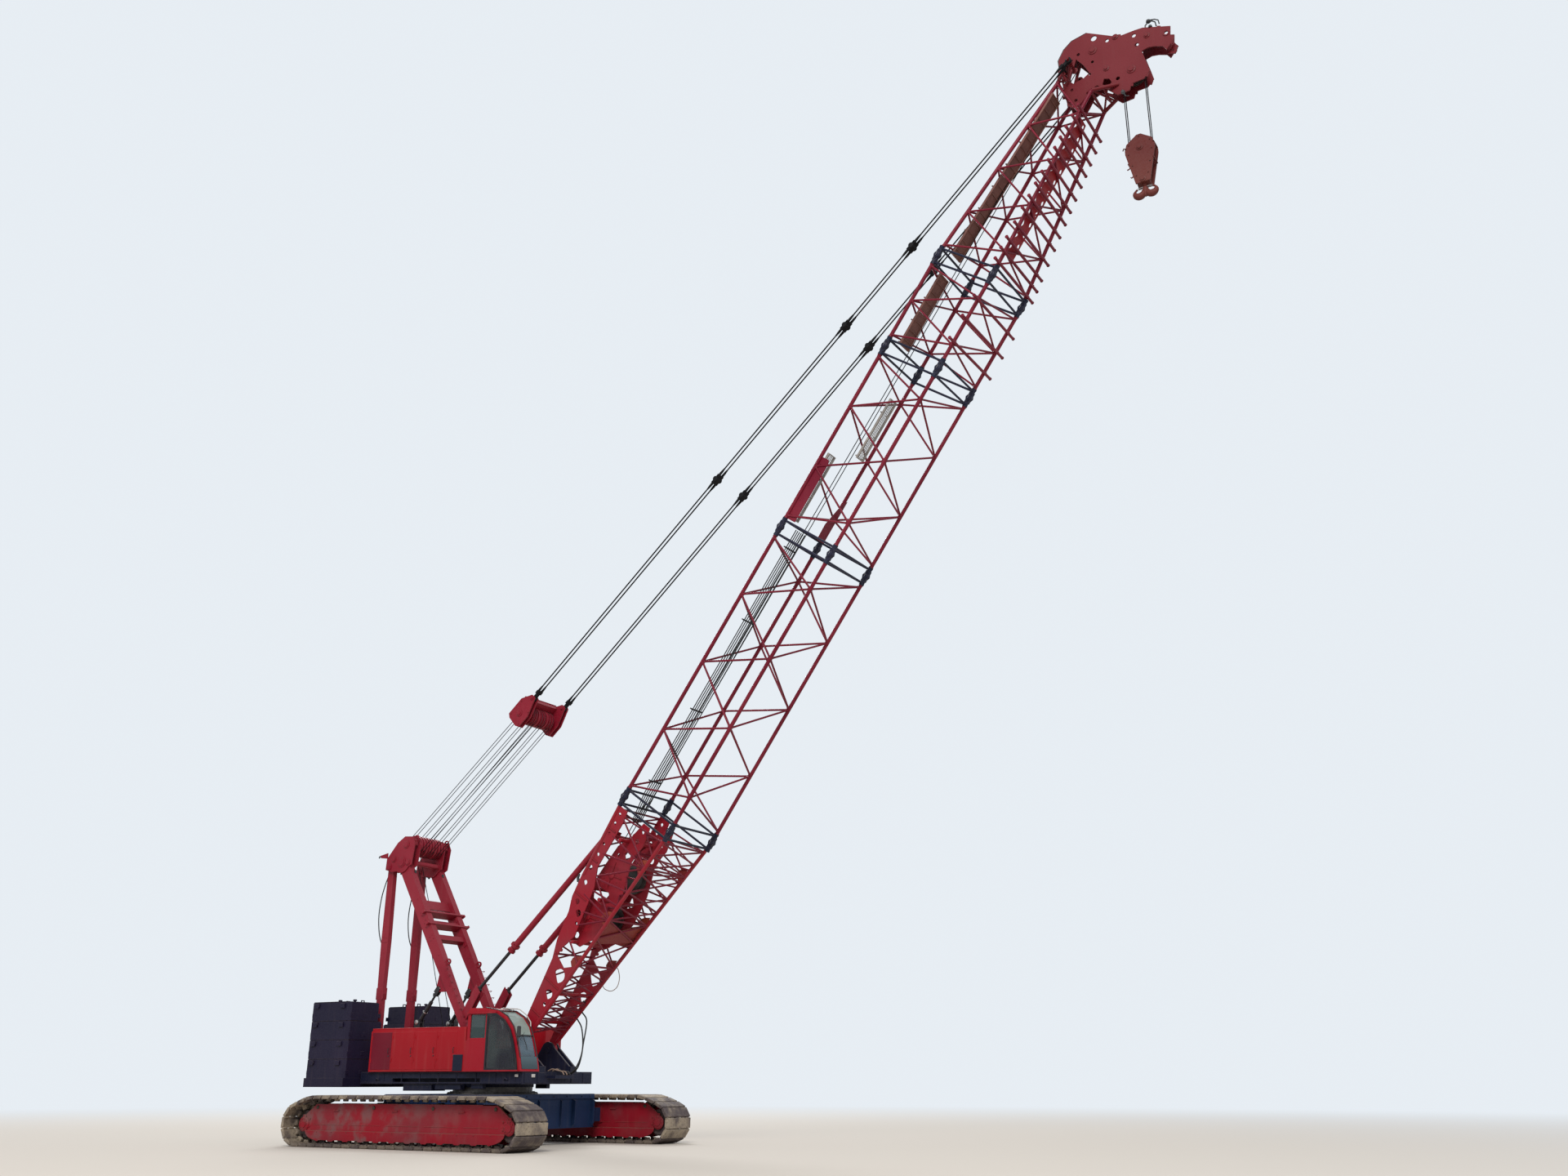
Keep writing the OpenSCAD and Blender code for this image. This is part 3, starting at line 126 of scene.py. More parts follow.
floor_reach, floor_height = 900.0, -0.002
floor_corners = [
    (x * floor_reach, y * floor_reach, floor_height) for x, y in ((-1, -1), (1, -1), (1, 1), (-1, 1))
]
floor_mesh = bpy.data.meshes.new("studio_floor")
floor_mesh.from_pydata(floor_corners, [], [(0, 1, 2, 3)])
floor = bpy.data.objects.new("studio_floor", floor_mesh)
bpy.context.scene.collection.objects.link(floor)
floor_sand = bpy.data.materials.new("floor_sand")
sand = clear_tree(floor_sand)
sand_out, sand_mix, sand_path, sand_spot, sand_tone = (
    add_node(sand, kind) for kind in ("OutputMaterial", "MixShader", "LightPath", "TexCoord", "ValToRGB")
)
sand_shader = add_node(sand, "BsdfPrincipled", Roughness=0.95)
sand_far = add_node(sand, "Emission", Color=horizon)
sand_noise = add_node(sand, "TexNoise", Scale=0.6, Detail=6.0)
for stop, spot, colour in zip(
    sand_tone.color_ramp.elements, (0.3, 0.7), ((0.60, 0.54, 0.46, 1.0), (0.68, 0.62, 0.54, 1.0))
):
    stop.position, stop.color = spot, colour
sand_reach = add_node(sand, "VectorMath", "LENGTH")
sand_fade = add_node(sand, "MapRange")
sand_fade.interpolation_type = "SMOOTHSTEP"
for socket, number in zip(list(sand_fade.inputs)[1:5], (16.0, 75.0, 0.0, 1.0)):
    socket.default_value = number
sand_seen = add_node(sand, "Math", "MAXIMUM")
sand_share = add_node(sand, "Math", "MULTIPLY")
join_nodes(
    sand,
    (sand_noise.outputs["Fac"], sand_tone.inputs["Fac"]),
    (sand_tone.outputs["Color"], sand_shader.inputs["Base Color"]),
    (sand_spot.outputs["Object"], sand_reach.inputs[0]),
    (sand_reach.outputs["Value"], sand_fade.inputs["Value"]),
    (sand_path.outputs["Is Camera Ray"], sand_seen.inputs[0]),
    (sand_path.outputs["Is Glossy Ray"], sand_seen.inputs[1]),
    (sand_fade.outputs["Result"], sand_share.inputs[0]),
    (sand_seen.outputs[0], sand_share.inputs[1]),
    (sand_share.outputs[0], sand_mix.inputs["Fac"]),
    (sand_shader.outputs[0], sand_mix.inputs[1]),
    (sand_far.outputs[0], sand_mix.inputs[2]),
    (sand_mix.outputs[0], sand_out.inputs["Surface"]),
)
floor_mesh.materials.append(floor_sand)


# Carbody: the welded box between the crawlers with a cross beam at each end, in blue enamel.
# Each beam has a bolted lip along its top edge and upright ribs on its outer face.
class Finish:
    """One procedural finish, built up socket by socket."""

    def __init__(self, name):
        self.material = bpy.data.materials.new(name)
        self.tree = clear_tree(self.material)
        out = add_node(self.tree, "OutputMaterial")
        self.shader = add_node(self.tree, "BsdfPrincipled")
        self.tree.links.new(self.shader.outputs[0], out.inputs["Surface"])
        self.place = add_node(self.tree, "TexCoord")

    def put(self, socket, value):
        if isinstance(value, tuple):
            socket.default_value = (*value, 1.0)
        elif isinstance(value, (int, float)):
            socket.default_value = value
        else:
            self.tree.links.new(value, socket)

    def noise(self, scale, detail=4.0, stretch=(1.0, 1.0, 1.0)):
        mapping = add_node(self.tree, "Mapping", Scale=stretch)
        self.put(mapping.inputs["Vector"], self.place.outputs["Object"])
        made = add_node(self.tree, "TexNoise", Scale=scale, Detail=detail)
        self.put(made.inputs["Vector"], mapping.outputs[0])
        return made.outputs["Fac"]

    def waves(self, scale, direction):
        made = add_node(self.tree, "TexWave", Scale=scale)
        made.bands_direction = direction
        self.put(made.inputs["Vector"], self.place.outputs["Object"])
        return made.outputs["Fac"]

    def ramp(self, value, low, high, to_low=0.0, to_high=1.0):
        made = add_node(self.tree, "MapRange")
        made.interpolation_type = "SMOOTHSTEP"
        for socket, number in zip(list(made.inputs)[1:5], (low, high, to_low, to_high)):
            socket.default_value = number
        self.put(made.inputs["Value"], value)
        return made.outputs["Result"]

    def maths(self, kind, first, second):
        made = add_node(self.tree, "Math", kind)
        self.put(made.inputs[0], first)
        self.put(made.inputs[1], second)
        return made.outputs[0]

    def mix(self, share, first, second):
        made = add_node(self.tree, "Mix")
        made.data_type = "RGBA"
        self.put(made.inputs[0], share)
        self.put(made.inputs[6], first)
        self.put(made.inputs[7], second)
        return made.outputs[2]

    def part_of(self, name, axis):
        made = add_node(self.tree, "SeparateXYZ")
        self.put(made.inputs[0], self.place.outputs[name])
        return made.outputs[axis]

    def edges(self, radius):
        """1 along sharp edges, 0 on flat faces."""
        bevel = add_node(self.tree, "Bevel", Radius=radius)
        bevel.samples = 4
        surface = add_node(self.tree, "NewGeometry")
        dot = add_node(self.tree, "VectorMath", "DOT_PRODUCT")
        self.put(dot.inputs[0], bevel.outputs[0])
        self.put(dot.inputs[1], surface.outputs["Normal"])
        return self.ramp(self.maths("SUBTRACT", 1.0, dot.outputs["Value"]), 0.02, 0.16)

    def finish(self, colour, roughness, bump=None, depth=0.002, strength=0.4, metal=0.0, shine=0.5):
        self.put(self.shader.inputs["Base Color"], colour)
        self.put(self.shader.inputs["Roughness"], roughness)
        self.shader.inputs["Metallic"].default_value = metal
        self.shader.inputs["Specular IOR Level"].default_value = shine
        if bump is not None:
            node = add_node(self.tree, "Bump", Distance=depth, Strength=strength)
            self.put(node.inputs["Height"], bump)
            self.put(self.shader.inputs["Normal"], node.outputs[0])
        return self.material


def enamel(
    name, fresh, faded, chipped, dust=(0.36, 0.28, 0.20), dusty=0.3, wear=0.6, matt=0.4, mottled=0.0
):
    """Machine enamel: two tones of paint, rain streaks, settled dust, edges worn to primer."""
    f = Finish(name)
    paint = f.mix(f.ramp(f.noise(0.5, 5.0), 0.35, 0.68), fresh, faded)
    if mottled:
        rearward = f.ramp(f.part_of("Object", "X"), 3.6, -2.4, 0.15, 1.0)
        caked = f.maths("MULTIPLY", f.ramp(f.noise(2.1, 7.0), 0.45, 0.66), rearward)
        paint = f.mix(f.maths("MULTIPLY", caked, mottled), paint, (0.19, 0.085, 0.085))
    streaks = f.ramp(f.noise(3.2, 3.0, (2.4, 2.4, 0.2)), 0.52, 0.8)
    paint = f.mix(f.maths("MULTIPLY", streaks, 0.06), paint, dust)
    grain = f.noise(24.0, 4.0)
    settled = f.maths(
        "MULTIPLY", f.ramp(f.part_of("Normal", "Z"), 0.3, 0.95), f.ramp(grain, 0.2, 0.9, 0.3, 1.0)
    )
    paint = f.mix(f.maths("MULTIPLY", settled, dusty), paint, dust)
    worn = f.ramp(f.maths("MULTIPLY", f.edges(0.012), f.noise(8.0, 5.0)), 0.34, 0.5)
    paint = f.mix(f.maths("MULTIPLY", worn, wear), paint, chipped)
    rough = f.ramp(f.maths("MAXIMUM", grain, settled), 0.2, 1.0, matt - 0.06, matt + 0.4)
    return f.finish(paint, rough, f.noise(55.0, 3.0), 0.0015, 0.25, shine=0.22)


def coat_node(material, *names):
    for name in names:
        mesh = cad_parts[name].data
        mesh.materials.clear()
        mesh.materials.append(material)


def new_piece(name, bm, material, body, soften=34.0):
    """Turns the mesh under construction into a piece that rides on a body."""
    bmesh.ops.recalc_face_normals(bm, faces=bm.faces)
    mesh = bpy.data.meshes.new(name)
    bm.to_mesh(mesh)
    bm.free()
    mesh.materials.append(material)
    mesh.polygons.foreach_set("use_smooth", [True] * len(mesh.polygons))
    mesh.set_sharp_from_angle(angle=math.radians(soften))
    piece = bpy.data.objects.new(name, mesh)
    bpy.context.scene.collection.objects.link(piece)
    if body:
        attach(piece, body)
    return piece


def add_block(bm, low, high, edge=0.008, place=None):
    """A block between two corners with chamfered edges."""
    low, high = Vector(low), Vector(high)
    spread = Matrix.Diagonal((*(high - low), 1.0))
    matrix = (place or Matrix()) @ Matrix.Translation((low + high) / 2) @ spread
    made = bmesh.ops.create_cube(bm, size=1.0, matrix=matrix)["verts"]
    rims = list({e for v in made for e in v.link_edges})
    bmesh.ops.bevel(bm, geom=rims, offset=edge, offset_type="OFFSET", segments=1, affect="EDGES")


def add_turned(bm, profile, base, axis, sides=24, place=None):
    """A body of revolution: profile is [(radius, height)] along the axis from the base."""
    axis = Vector(axis).normalized()
    spin = axis.to_track_quat("Z", "Y").to_matrix().to_4x4()
    matrix = (place or Matrix()) @ Matrix.Translation(base) @ spin
    rings = []
    for radius, height in profile:
        turn = [2 * math.pi * k / sides for k in range(sides if radius > 1e-6 else 1)]
        rings.append(
            [
                bm.verts.new(
                    matrix @ Vector((radius * math.cos(a), radius * math.sin(a), height))
                ) for a in turn
            ]
        )
    for low, high in zip(rings, rings[1:]):
        for k in range(sides):
            corners = [
                low[k % len(low)], low[(k + 1) % len(low)], high[(k + 1) % len(high)], high[k % len(high)]
            ]
            distinct = list(dict.fromkeys(corners))
            if len(distinct) > 2:
                bm.faces.new(distinct)
    for ring in (rings[0], rings[-1]):
        if len(ring) > 1:
            bm.faces.new(ring)


def add_bolt(bm, spot, axis, size, place=None):
    """A hexagon head on a washer."""
    add_turned(bm, [(1.3 * size, 0), (1.3 * size, 0.3 * size), (0, 0.3 * size)], spot, axis, 10, place)
    head = Vector(spot) + Vector(axis).normalized() * 0.3 * size
    add_turned(
        bm, [(size, 0), (size, 0.7 * size), (0.82 * size, 0.9 * size), (0, 0.9 * size)], head, axis, 6,
        place
    )


def add_tube(bm, path, radius, sides=10, place=None):
    """A round bar or hose along a path, with closed ends; radius may be one number per point."""
    radii = radius if isinstance(radius, list) else [radius] * len(path)
    points = [(place or Matrix()) @ Vector(p) for p in path]
    last = len(points) - 1
    tangents = [(points[min(i + 1, last)] - points[max(i - 1, 0)]).normalized() for i in range(last + 1)]
    side = tangents[0].orthogonal().normalized()
    rings = []
    for point, tangent, reach in zip(points, tangents, radii):
        side = (side - tangent * side.dot(tangent)).normalized()
        other = tangent.cross(side)
        turn = [2 * math.pi * k / sides for k in range(sides)]
        rings.append(
            [bm.verts.new(point + reach * (math.cos(a) * side + math.sin(a) * other)) for a in turn]
        )
    for low, high in zip(rings, rings[1:]):
        for k in range(sides):
            bm.faces.new((low[k], low[(k + 1) % sides], high[(k + 1) % sides], high[k]))
    bm.faces.new(rings[0])
    bm.faces.new(rings[-1])


def add_plate(bm, outline, thick, place=None, edge=0.004):
    """A plate cut to an outline of (x, z) points, its thickness centred on the local Y."""
    matrix = place or Matrix()
    faces = []
    for y in (-thick / 2, thick / 2):
        faces.append(bm.faces.new([bm.verts.new(matrix @ Vector((x, y, z))) for x, z in outline]))
    near, far = (list(face.verts) for face in faces)
    for k in range(len(outline)):
        j = (k + 1) % len(outline)
        bm.faces.new((near[k], near[j], far[j], far[k]))
    rims = list({e for face in faces for e in face.edges})
    bmesh.ops.bevel(bm, geom=rims, offset=edge, offset_type="OFFSET", segments=1, affect="EDGES")


carbody_blue = enamel(
    "carbody_blue", (0.010, 0.026, 0.078), (0.017, 0.040, 0.105), (0.12, 0.10, 0.09), dusty=0.5
)
coat_node(carbody_blue, "carbody")
beam_x, beam_top = 1.8, 1.4
beam_rib = [(0, 0.5), (0.05, 0.5), (0.13, 0.58), (0.13, 1.22), (0, 1.27)]
bm = bmesh.new()
for end in (-1, 1):
    lip_x = end * (beam_x + 0.012)
    add_block(bm, (lip_x - 0.06, -2.5, beam_top - 0.13), (lip_x + 0.06, 2.5, beam_top + 0.012))
    outward = Matrix.Scale(end, 4, (1, 0, 0))
    for y in (-2.45, -1.55, 1.55, 2.45):
        add_plate(bm, beam_rib, 0.03, Matrix.Translation((end * beam_x, y, 0)) @ outward)
for side in (-1, 1):
    add_block(bm, (-1.0, side * 1.5 - 0.02, 0.5), (1.0, side * 1.5 + 0.02, 1.3), 0.006)
for y in (-2.3, -1.9, -1.2, -0.6, 0.0, 0.6, 1.2, 1.9, 2.3):
    for end in (-1, 1):
        add_bolt(bm, (end * (beam_x + 0.072), y, beam_top - 0.06), (end, 0, 0), 0.022)
low_rib = [(0, 0.5), (0.045, 0.5), (0.07, 0.56), (0.07, 1.2), (0, 1.26)]
for y in (-1.0, 0.0, 1.0):
    add_plate(bm, low_rib, 0.025, Matrix.Translation((beam_x, y, 0)))
new_piece("carbody_trim", bm, carbody_blue, "undercarriage")

# Slew ring: the large ball bearing between the carbody and the upperstructure. Bare forged steel
# under a film of grease, clamped by a row of bolts through its lower flange.
def plain_finish(name, tone, colours, rough, bump, metal=0.0, shine=0.5):
    """Two tones mottled together; tone, rough and bump each start with the scale of their noise."""
    f = Finish(name)
    colour = f.mix(f.noise(*tone), *colours)
    roughness = f.ramp(f.noise(rough[0]), 0.2, 0.8, *rough[1:])
    return f.finish(colour, roughness, f.noise(bump[0]), *bump[1:], metal=metal, shine=shine)


ring_steel = plain_finish(
    "ring_steel", (8.0, 5.0), ((0.05, 0.045, 0.04), (0.16, 0.15, 0.14)), (20.0, 0.3, 0.7),
    (90.0, 0.001, 0.3), 0.7
)
coat_node(ring_steel, "slew_ring")
ring_bolts, ring_bolt_reach = 60, 1.297
bm = bmesh.new()
flange = [(1.252, 0.0), (1.34, 0.0), (1.34, 0.035), (1.33, 0.045), (1.252, 0.045)]
add_turned(bm, flange, (0, 0, 1.401), (0, 0, 1), 72)
for k in range(ring_bolts):
    turn = 2 * math.pi * k / ring_bolts
    spot = (ring_bolt_reach * math.cos(turn), ring_bolt_reach * math.sin(turn), 1.446)
    add_bolt(bm, spot, (0, 0, 1), 0.018)
new_piece("ring_flange", bm, ring_steel, "undercarriage")

# Crawler side frames: fabricated red boxes that carry the rollers, thick with dust low down.
# Bolted caps close the roller axles, and slotted blocks guide the wheel at each end.
def add_cap(bm, spot, axis, wide, rim, narrow, height, sides=24, place=None):
    """A turned cap with a chamfered shoulder."""
    add_turned(bm, [(wide, 0), (wide, rim), (narrow, height), (0, height)], spot, axis, sides, place)


def add_staple(bm, first, last, rise, radius, lean=(0, 0, 0), sides=8):
    """A bent bar between two feet; rise is the offset of its grip, lean draws the grip in."""
    first, last, rise, lean = (Vector(v) for v in (first, last, rise, lean))
    add_tube(bm, [first, first + rise + lean, last + rise - lean, last], radius, sides)


frame_red = enamel(
    "frame_red", (0.29, 0.003, 0.014), (0.22, 0.018, 0.028), (0.10, 0.06, 0.05), dusty=0.7, wear=0.8,
    mottled=0.85
)
axle_grime = plain_finish(
    "axle_grime", (14.0, 6.0), ((0.022, 0.016, 0.013), (0.11, 0.08, 0.055)), (30.0, 0.45, 0.9),
    (60.0, 0.002, 0.4), 0.3
)
coat_node(frame_red, "track_frame_right", "track_frame_left")
track_y, frame_half = 3.315, 0.26
wheel_x, wheel_height, axle_height, roller_pitch = 3.91, 0.6, 0.348, 0.606
guard_end = [(3.80, 0.43), (3.76, 0.34), (3.66, 0.26), (3.5, 0.205)]
for side, name in ((-1, "right"), (1, "left")):
    bm = bmesh.new()
    caps = bmesh.new()
    for face in (-1, 1):
        y = side * track_y + face * frame_half
        for end in (-1, 1):
            x = end * wheel_x
            for dx, dz in ((-0.17, -0.1), (-0.17, 0.1), (0.0, 0.17), (0.0, -0.14)):
                add_bolt(bm, (x * 0.985 + dx * end, y, 0.64 + dz), (0, face, 0), 0.022)
            add_cap(bm, (x, y, wheel_height), (0, face, 0), 0.115, 0.025, 0.09, 0.04)
            add_block(bm, (x - 0.06, y - 0.012, 0.78), (x + 0.06, y + 0.012, 0.86), 0.004)
        for k in range(11):
            x = roller_pitch * (k - 5)
            add_cap(caps, (x, y - face * 0.03, axle_height), (0, face, 0), 0.085, 0.02, 0.06, 0.034, 20)
            for dx in (-0.055, 0.055):
                add_bolt(caps, (x + dx, y - face * 0.005, axle_height), (0, face, 0), 0.01)
        for x in (-3.4, -1.133, 1.133, 3.4):
            add_cap(caps, (x, y, 1.06), (0, face, 0), 0.05, 0.02, 0.035, 0.03, 16)
        for x in (-2.9, -1.45, 0.0, 1.45, 2.9):
            add_block(bm, (x - 0.62, y - 0.008, 0.585), (x + 0.62, y + 0.008, 0.6), 0.003)
        guard_y = y + face * 0.045
        scallops = list(guard_end)
        for k in range(5, -6, -1):
            x = roller_pitch * k
            scallops += [(x + 0.22, 0.150), (x + 0.17, 0.185), (x - 0.17, 0.185), (x - 0.22, 0.150)]
        scallops += [(-x, z) for x, z in reversed(guard_end)]
        add_plate(bm, scallops, 0.016, Matrix.Translation((0, guard_y, 0)), 0.003)
        add_block(bm, (-3.78, min(y, guard_y), 0.425), (3.78, max(y, guard_y), 0.441), 0.003)
        for k in range(12):
            add_bolt(bm, (-3.3 + 0.6 * k, guard_y + face * 0.008, 0.4), (0, face, 0), 0.012)
        add_block(bm, (-2.95, y - 0.03, 1.142), (2.95, y + 0.03, 1.168), 0.006)
        for x in (-2.6, -0.3, 2.2):
            add_staple(bm, (x - 0.1, y, 0.98), (x + 0.1, y, 0.98), (0, face * 0.045, 0), 0.011)
    new_piece("frame_fittings_" + name, bm, frame_red, "undercarriage")
    new_piece("roller_caps_" + name, caps, axle_grime, "undercarriage")

# Tracks: cast steel shoes pinned end to end, fifty-six to a side, dusted with dry sand.
# Each shoe is one casting: a flat tread with a shallow rib, knuckles at the pins, two drive lugs.
f = Finish("shoe_cast")
shoe_share = add_node(f.tree, "Attribute")
shoe_share.attribute_name = "shoe_tone"
shoe_own = f.maths("MULTIPLY", shoe_share.outputs["Fac"], 0.45)
shoe_patch = f.maths("ADD", shoe_own, f.noise(2.6, 6.0))
shoe_tone = f.mix(f.ramp(shoe_patch, 0.5, 0.95), (0.088, 0.066, 0.066), (0.38, 0.31, 0.225))
# The first mix darkens the shoes below 0.22 m: painted shade on the lower run under the machine. The second
# adds dark mottling, and the third lightens the worn edges.
for share, tone in (
    (f.ramp(f.part_of("Object", "Z"), 0.05, 0.22, 0.65, 0.0), (0.055, 0.036, 0.030)),
    (f.ramp(f.noise(16.0, 5.0), 0.5, 0.72, 0.0, 0.55), (0.06, 0.045, 0.036)),
    (f.maths("MULTIPLY", f.edges(0.015), 0.4), (0.34, 0.30, 0.26)),
):
    shoe_tone = f.mix(share, shoe_tone, tone)
shoe_rough = f.ramp(f.noise(14.0), 0.2, 0.8, 0.6, 0.95)
shoe_cast = f.finish(shoe_tone, shoe_rough, f.noise(45.0, 6.0), 0.004, 0.5, metal=0.2)
coat_node(shoe_cast, "drive_sprockets", "front_idlers", "track_rollers_right", "track_rollers_left")
shoe_count = 56
loop_circles = [
    (-wheel_x, wheel_height, 0.6), (wheel_x, wheel_height, 0.6), (3.4, 1.09, 0.3), (-3.4, 1.09, 0.3)
]
loop_marks = []
loop_length = 0.0
for k in range(4):
    (x0, z0, r0), (x1, z1, r1), (x2, z2, r2) = (loop_circles[(k + j) % 4] for j in (-1, 0, 1))
    entry = math.atan2(z1 - z0, x1 - x0) - math.acos((r0 - r1) / math.hypot(x1 - x0, z1 - z0))
    leave = math.atan2(z2 - z1, x2 - x1) - math.acos((r1 - r2) / math.hypot(x2 - x1, z2 - z1))
    turn = (leave - entry) % (2 * math.pi)
    run = math.hypot(x2 - x1 + (r2 - r1) * math.cos(leave), z2 - z1 + (r2 - r1) * math.sin(leave))
    loop_marks.append((loop_length, x1, z1, r1, entry, turn, run))
    loop_length += r1 * turn + run


def loop_point(distance, depth):
    """Point of the shoe line at a distance round the loop, moved in by depth."""
    distance %= loop_length
    start, x, z, r, entry, turn, run = [mark for mark in loop_marks if mark[0] <= distance][-1]
    gone = distance - start
    angle = entry + min(gone / r, turn)
    ahead = max(0.0, gone - r * turn)
    out = Vector((math.cos(angle), 0.0, math.sin(angle)))
    return Vector((x, 0.0, z)) + out * (r - depth) + Vector((-out.z, 0.0, out.x)) * ahead


shoe_lumps = (
    ((-0.42, 0.0, 0.42), 0.62, 0.15, -0.012, 0.0, 0.005),
    ((-0.155, 0.155), 0.55, 0.04, -0.17, -0.065, 0.014),
    ((-0.585, 0.585), 0.75, 0.02, -0.095, -0.06, 0.006),
)
shoe_pitch = loop_length / shoe_count
shoe_draw = random.Random(shoe_count)
for side, name in ((-1, "right"), (1, "left")):
    bm = bmesh.new()
    tone_layer = bm.faces.layers.float.new("shoe_tone")
    for k in range(shoe_count):
        rear, front = (loop_point((k + half) * shoe_pitch, 0.0) for half in (-0.432, 0.432))
        along = (front - rear).normalized()
        outward = Vector((along.z, 0.0, -along.x))
        length = (front - rear).length / 2
        middle = (rear + front) / 2 + Vector((0.0, side * track_y, 0.0))
        seat = Matrix.Translation(middle) @ Matrix((along, (0, 1, 0), outward)).transposed().to_4x4()
        add_block(bm, (-length, -0.61, -0.07), (length, 0.61, -0.004), 0.012, seat)
        for spots, share, half, low, high, edge in shoe_lumps:
            for y in spots:
                add_block(
                    bm, (-length * share, y - half, low), (length * share, y + half, high), edge, seat
                )
        joint = loop_point((k + 0.5) * shoe_pitch, 0.078) + Vector((0.0, side * track_y, 0.0))
        for y, reach in ((-0.5, 0.07), (-0.28, 0.07), (0.0, 0.1), (0.28, 0.07), (0.5, 0.07)):
            add_turned(
                bm, [(0.032, 0), (0.032, 2 * reach)], joint + Vector((0, y - reach, 0)), (0, 1, 0), 10
            )
        tone = 0.05 + 0.95 * shoe_draw.random()
        for face in bm.faces:
            if face[tone_layer] == 0.0:
                face[tone_layer] = tone
    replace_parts(new_piece("shoes_" + name, bm, shoe_cast, "undercarriage"), "track_" + name)

# Wheel hubs: bolted covers over the drives at the rear and over the idler axles in front.
# Turned steel in the red of the side frames, with a ring of ten bolts on each face.
def add_bolt_ring(bm, centre, face, reach, count, size, first=0.0, place=None):
    """Bolt heads on a circle round a cross shaft; face is the side that they look to."""
    x, y, z = centre
    for k in range(count):
        turn = first + 2 * math.pi * k / count
        add_bolt(bm, (x + reach * math.cos(turn), y, z + reach * math.sin(turn)), (0, face, 0), size, place)


hub_profile = [(0.2, 0.0), (0.2, 0.03), (0.17, 0.05), (0.1, 0.05), (0.1, 0.07), (0, 0.07)]
bm = bmesh.new()
for side in (-1, 1):
    for x in (-wheel_x, wheel_x):
        for face in (-1, 1):
            y = side * track_y + face * 0.25
            add_turned(bm, hub_profile, (x, y, wheel_height), (0, face, 0), 32)
            add_bolt_ring(bm, (x, y + face * 0.05, wheel_height), face, 0.15, 10, 0.014)
new_piece("wheel_hubs", bm, frame_red, "undercarriage")

# Main frame: the welded deck under the upperworks, in very dark blue enamel.
# Deck edges carry a toe angle, stiffening ribs and tie-down eyes, and four pads sit on the front edge.
deck_navy = enamel(
    "deck_navy", (0.008, 0.010, 0.028), (0.014, 0.015, 0.038), (0.13, 0.10, 0.09), dusty=0.3, matt=0.45
)
coat_node(deck_navy, "main_frame")
deck_half = 1.56
bm = bmesh.new()
for side in (-1, 1):
    add_block(bm, (-3.9, side * deck_half - 0.014, 1.70), (2.46, side * deck_half + 0.014, 1.745), 0.004)
    add_block(bm, (-3.9, side * deck_half - 0.012, 1.985), (2.46, side * deck_half + 0.012, 2.026), 0.004)
    for k in range(9):
        x = -3.7 + 0.74 * k
        add_block(
            bm, (x - 0.012, side * 1.555 - 0.02, 1.745), (x + 0.012, side * 1.555 + 0.02, 1.985), 0.003
        )
    for x in (-3.2, 1.9):
        eye = (
            (-0.06, 1.565, 1.8), (-0.06, 1.6, 1.81), (0.0, 1.625, 1.85), (0.06, 1.6, 1.81),
            (0.06, 1.565, 1.8)
        )
        add_tube(bm, [(x + dx, side * y, z) for dx, y, z in eye], 0.014, 8)
for y in (-1.3, -0.75, 0.75, 1.3):
    add_block(bm, (2.44, y - 0.16, 1.72), (2.5, y + 0.16, 2.0), 0.008)
new_piece("deck_trim", bm, deck_navy, "upperstructure")

# Under-deck guards: dark boxes of folded sheet under the deck edges, over the swivel and its hoses.
# They are bolted through their outer faces and clear the bolts of the slew ring.
guard_boxes = ((-2.2, -1.05, 1.2, 0.3, 1.50), (-0.9, 0.1, 1.41, 0.1, 1.53), (0.5, 0.95, 1.41, 0.08, 1.56))
bm = bmesh.new()
for side in (-1, 1):
    for rear, front, y, half, low in guard_boxes:
        add_block(bm, (rear, side * y - half, low), (front, side * y + half, 1.695), 0.012)
    for x in (-2.0, -1.6, -1.2):
        add_bolt(bm, (x, side * 1.5, 1.6), (0, side, 0), 0.014)
new_piece("under_deck_guards", bm, deck_navy, "upperstructure")

# Machinery houses: bright red sheet-steel boxes on both sides of the deck, with rolled top edges.
# Doors are separate sheets with handles, hinges and locks, slats vent the rear bay on the left, and a
# flat navy sheet beside the cab stands for the step well, with painted shade for its recess.
house_red = enamel(
    "house_red", (0.35, 0.002, 0.009), (0.41, 0.005, 0.014), (0.14, 0.08, 0.07), (0.42, 0.30, 0.24), 0.3,
    0.35, 0.32
)
coat_node(house_red, "house_right", "house_left")
black_fittings = plain_finish(
    "black_fittings", (9.0, 4.0), ((0.010, 0.010, 0.012), (0.035, 0.034, 0.036)), (40.0, 0.35, 0.6),
    (120.0, 0.0008, 0.3)
)
# The rear door sheet on the right side takes a darker copy of the house red: painted shade on the rear bay
# beside the counterweight.
rear_bay_shaded_red = enamel(
    "rear_bay_shaded_red", (0.15, 0.002, 0.014), (0.19, 0.006, 0.022), (0.14, 0.08, 0.07), (0.42, 0.30, 0.24), 0.3,
    0.35, 0.36
)
bm = bmesh.new()
bay = bmesh.new()
dark = bmesh.new()
house_rear = -3.5
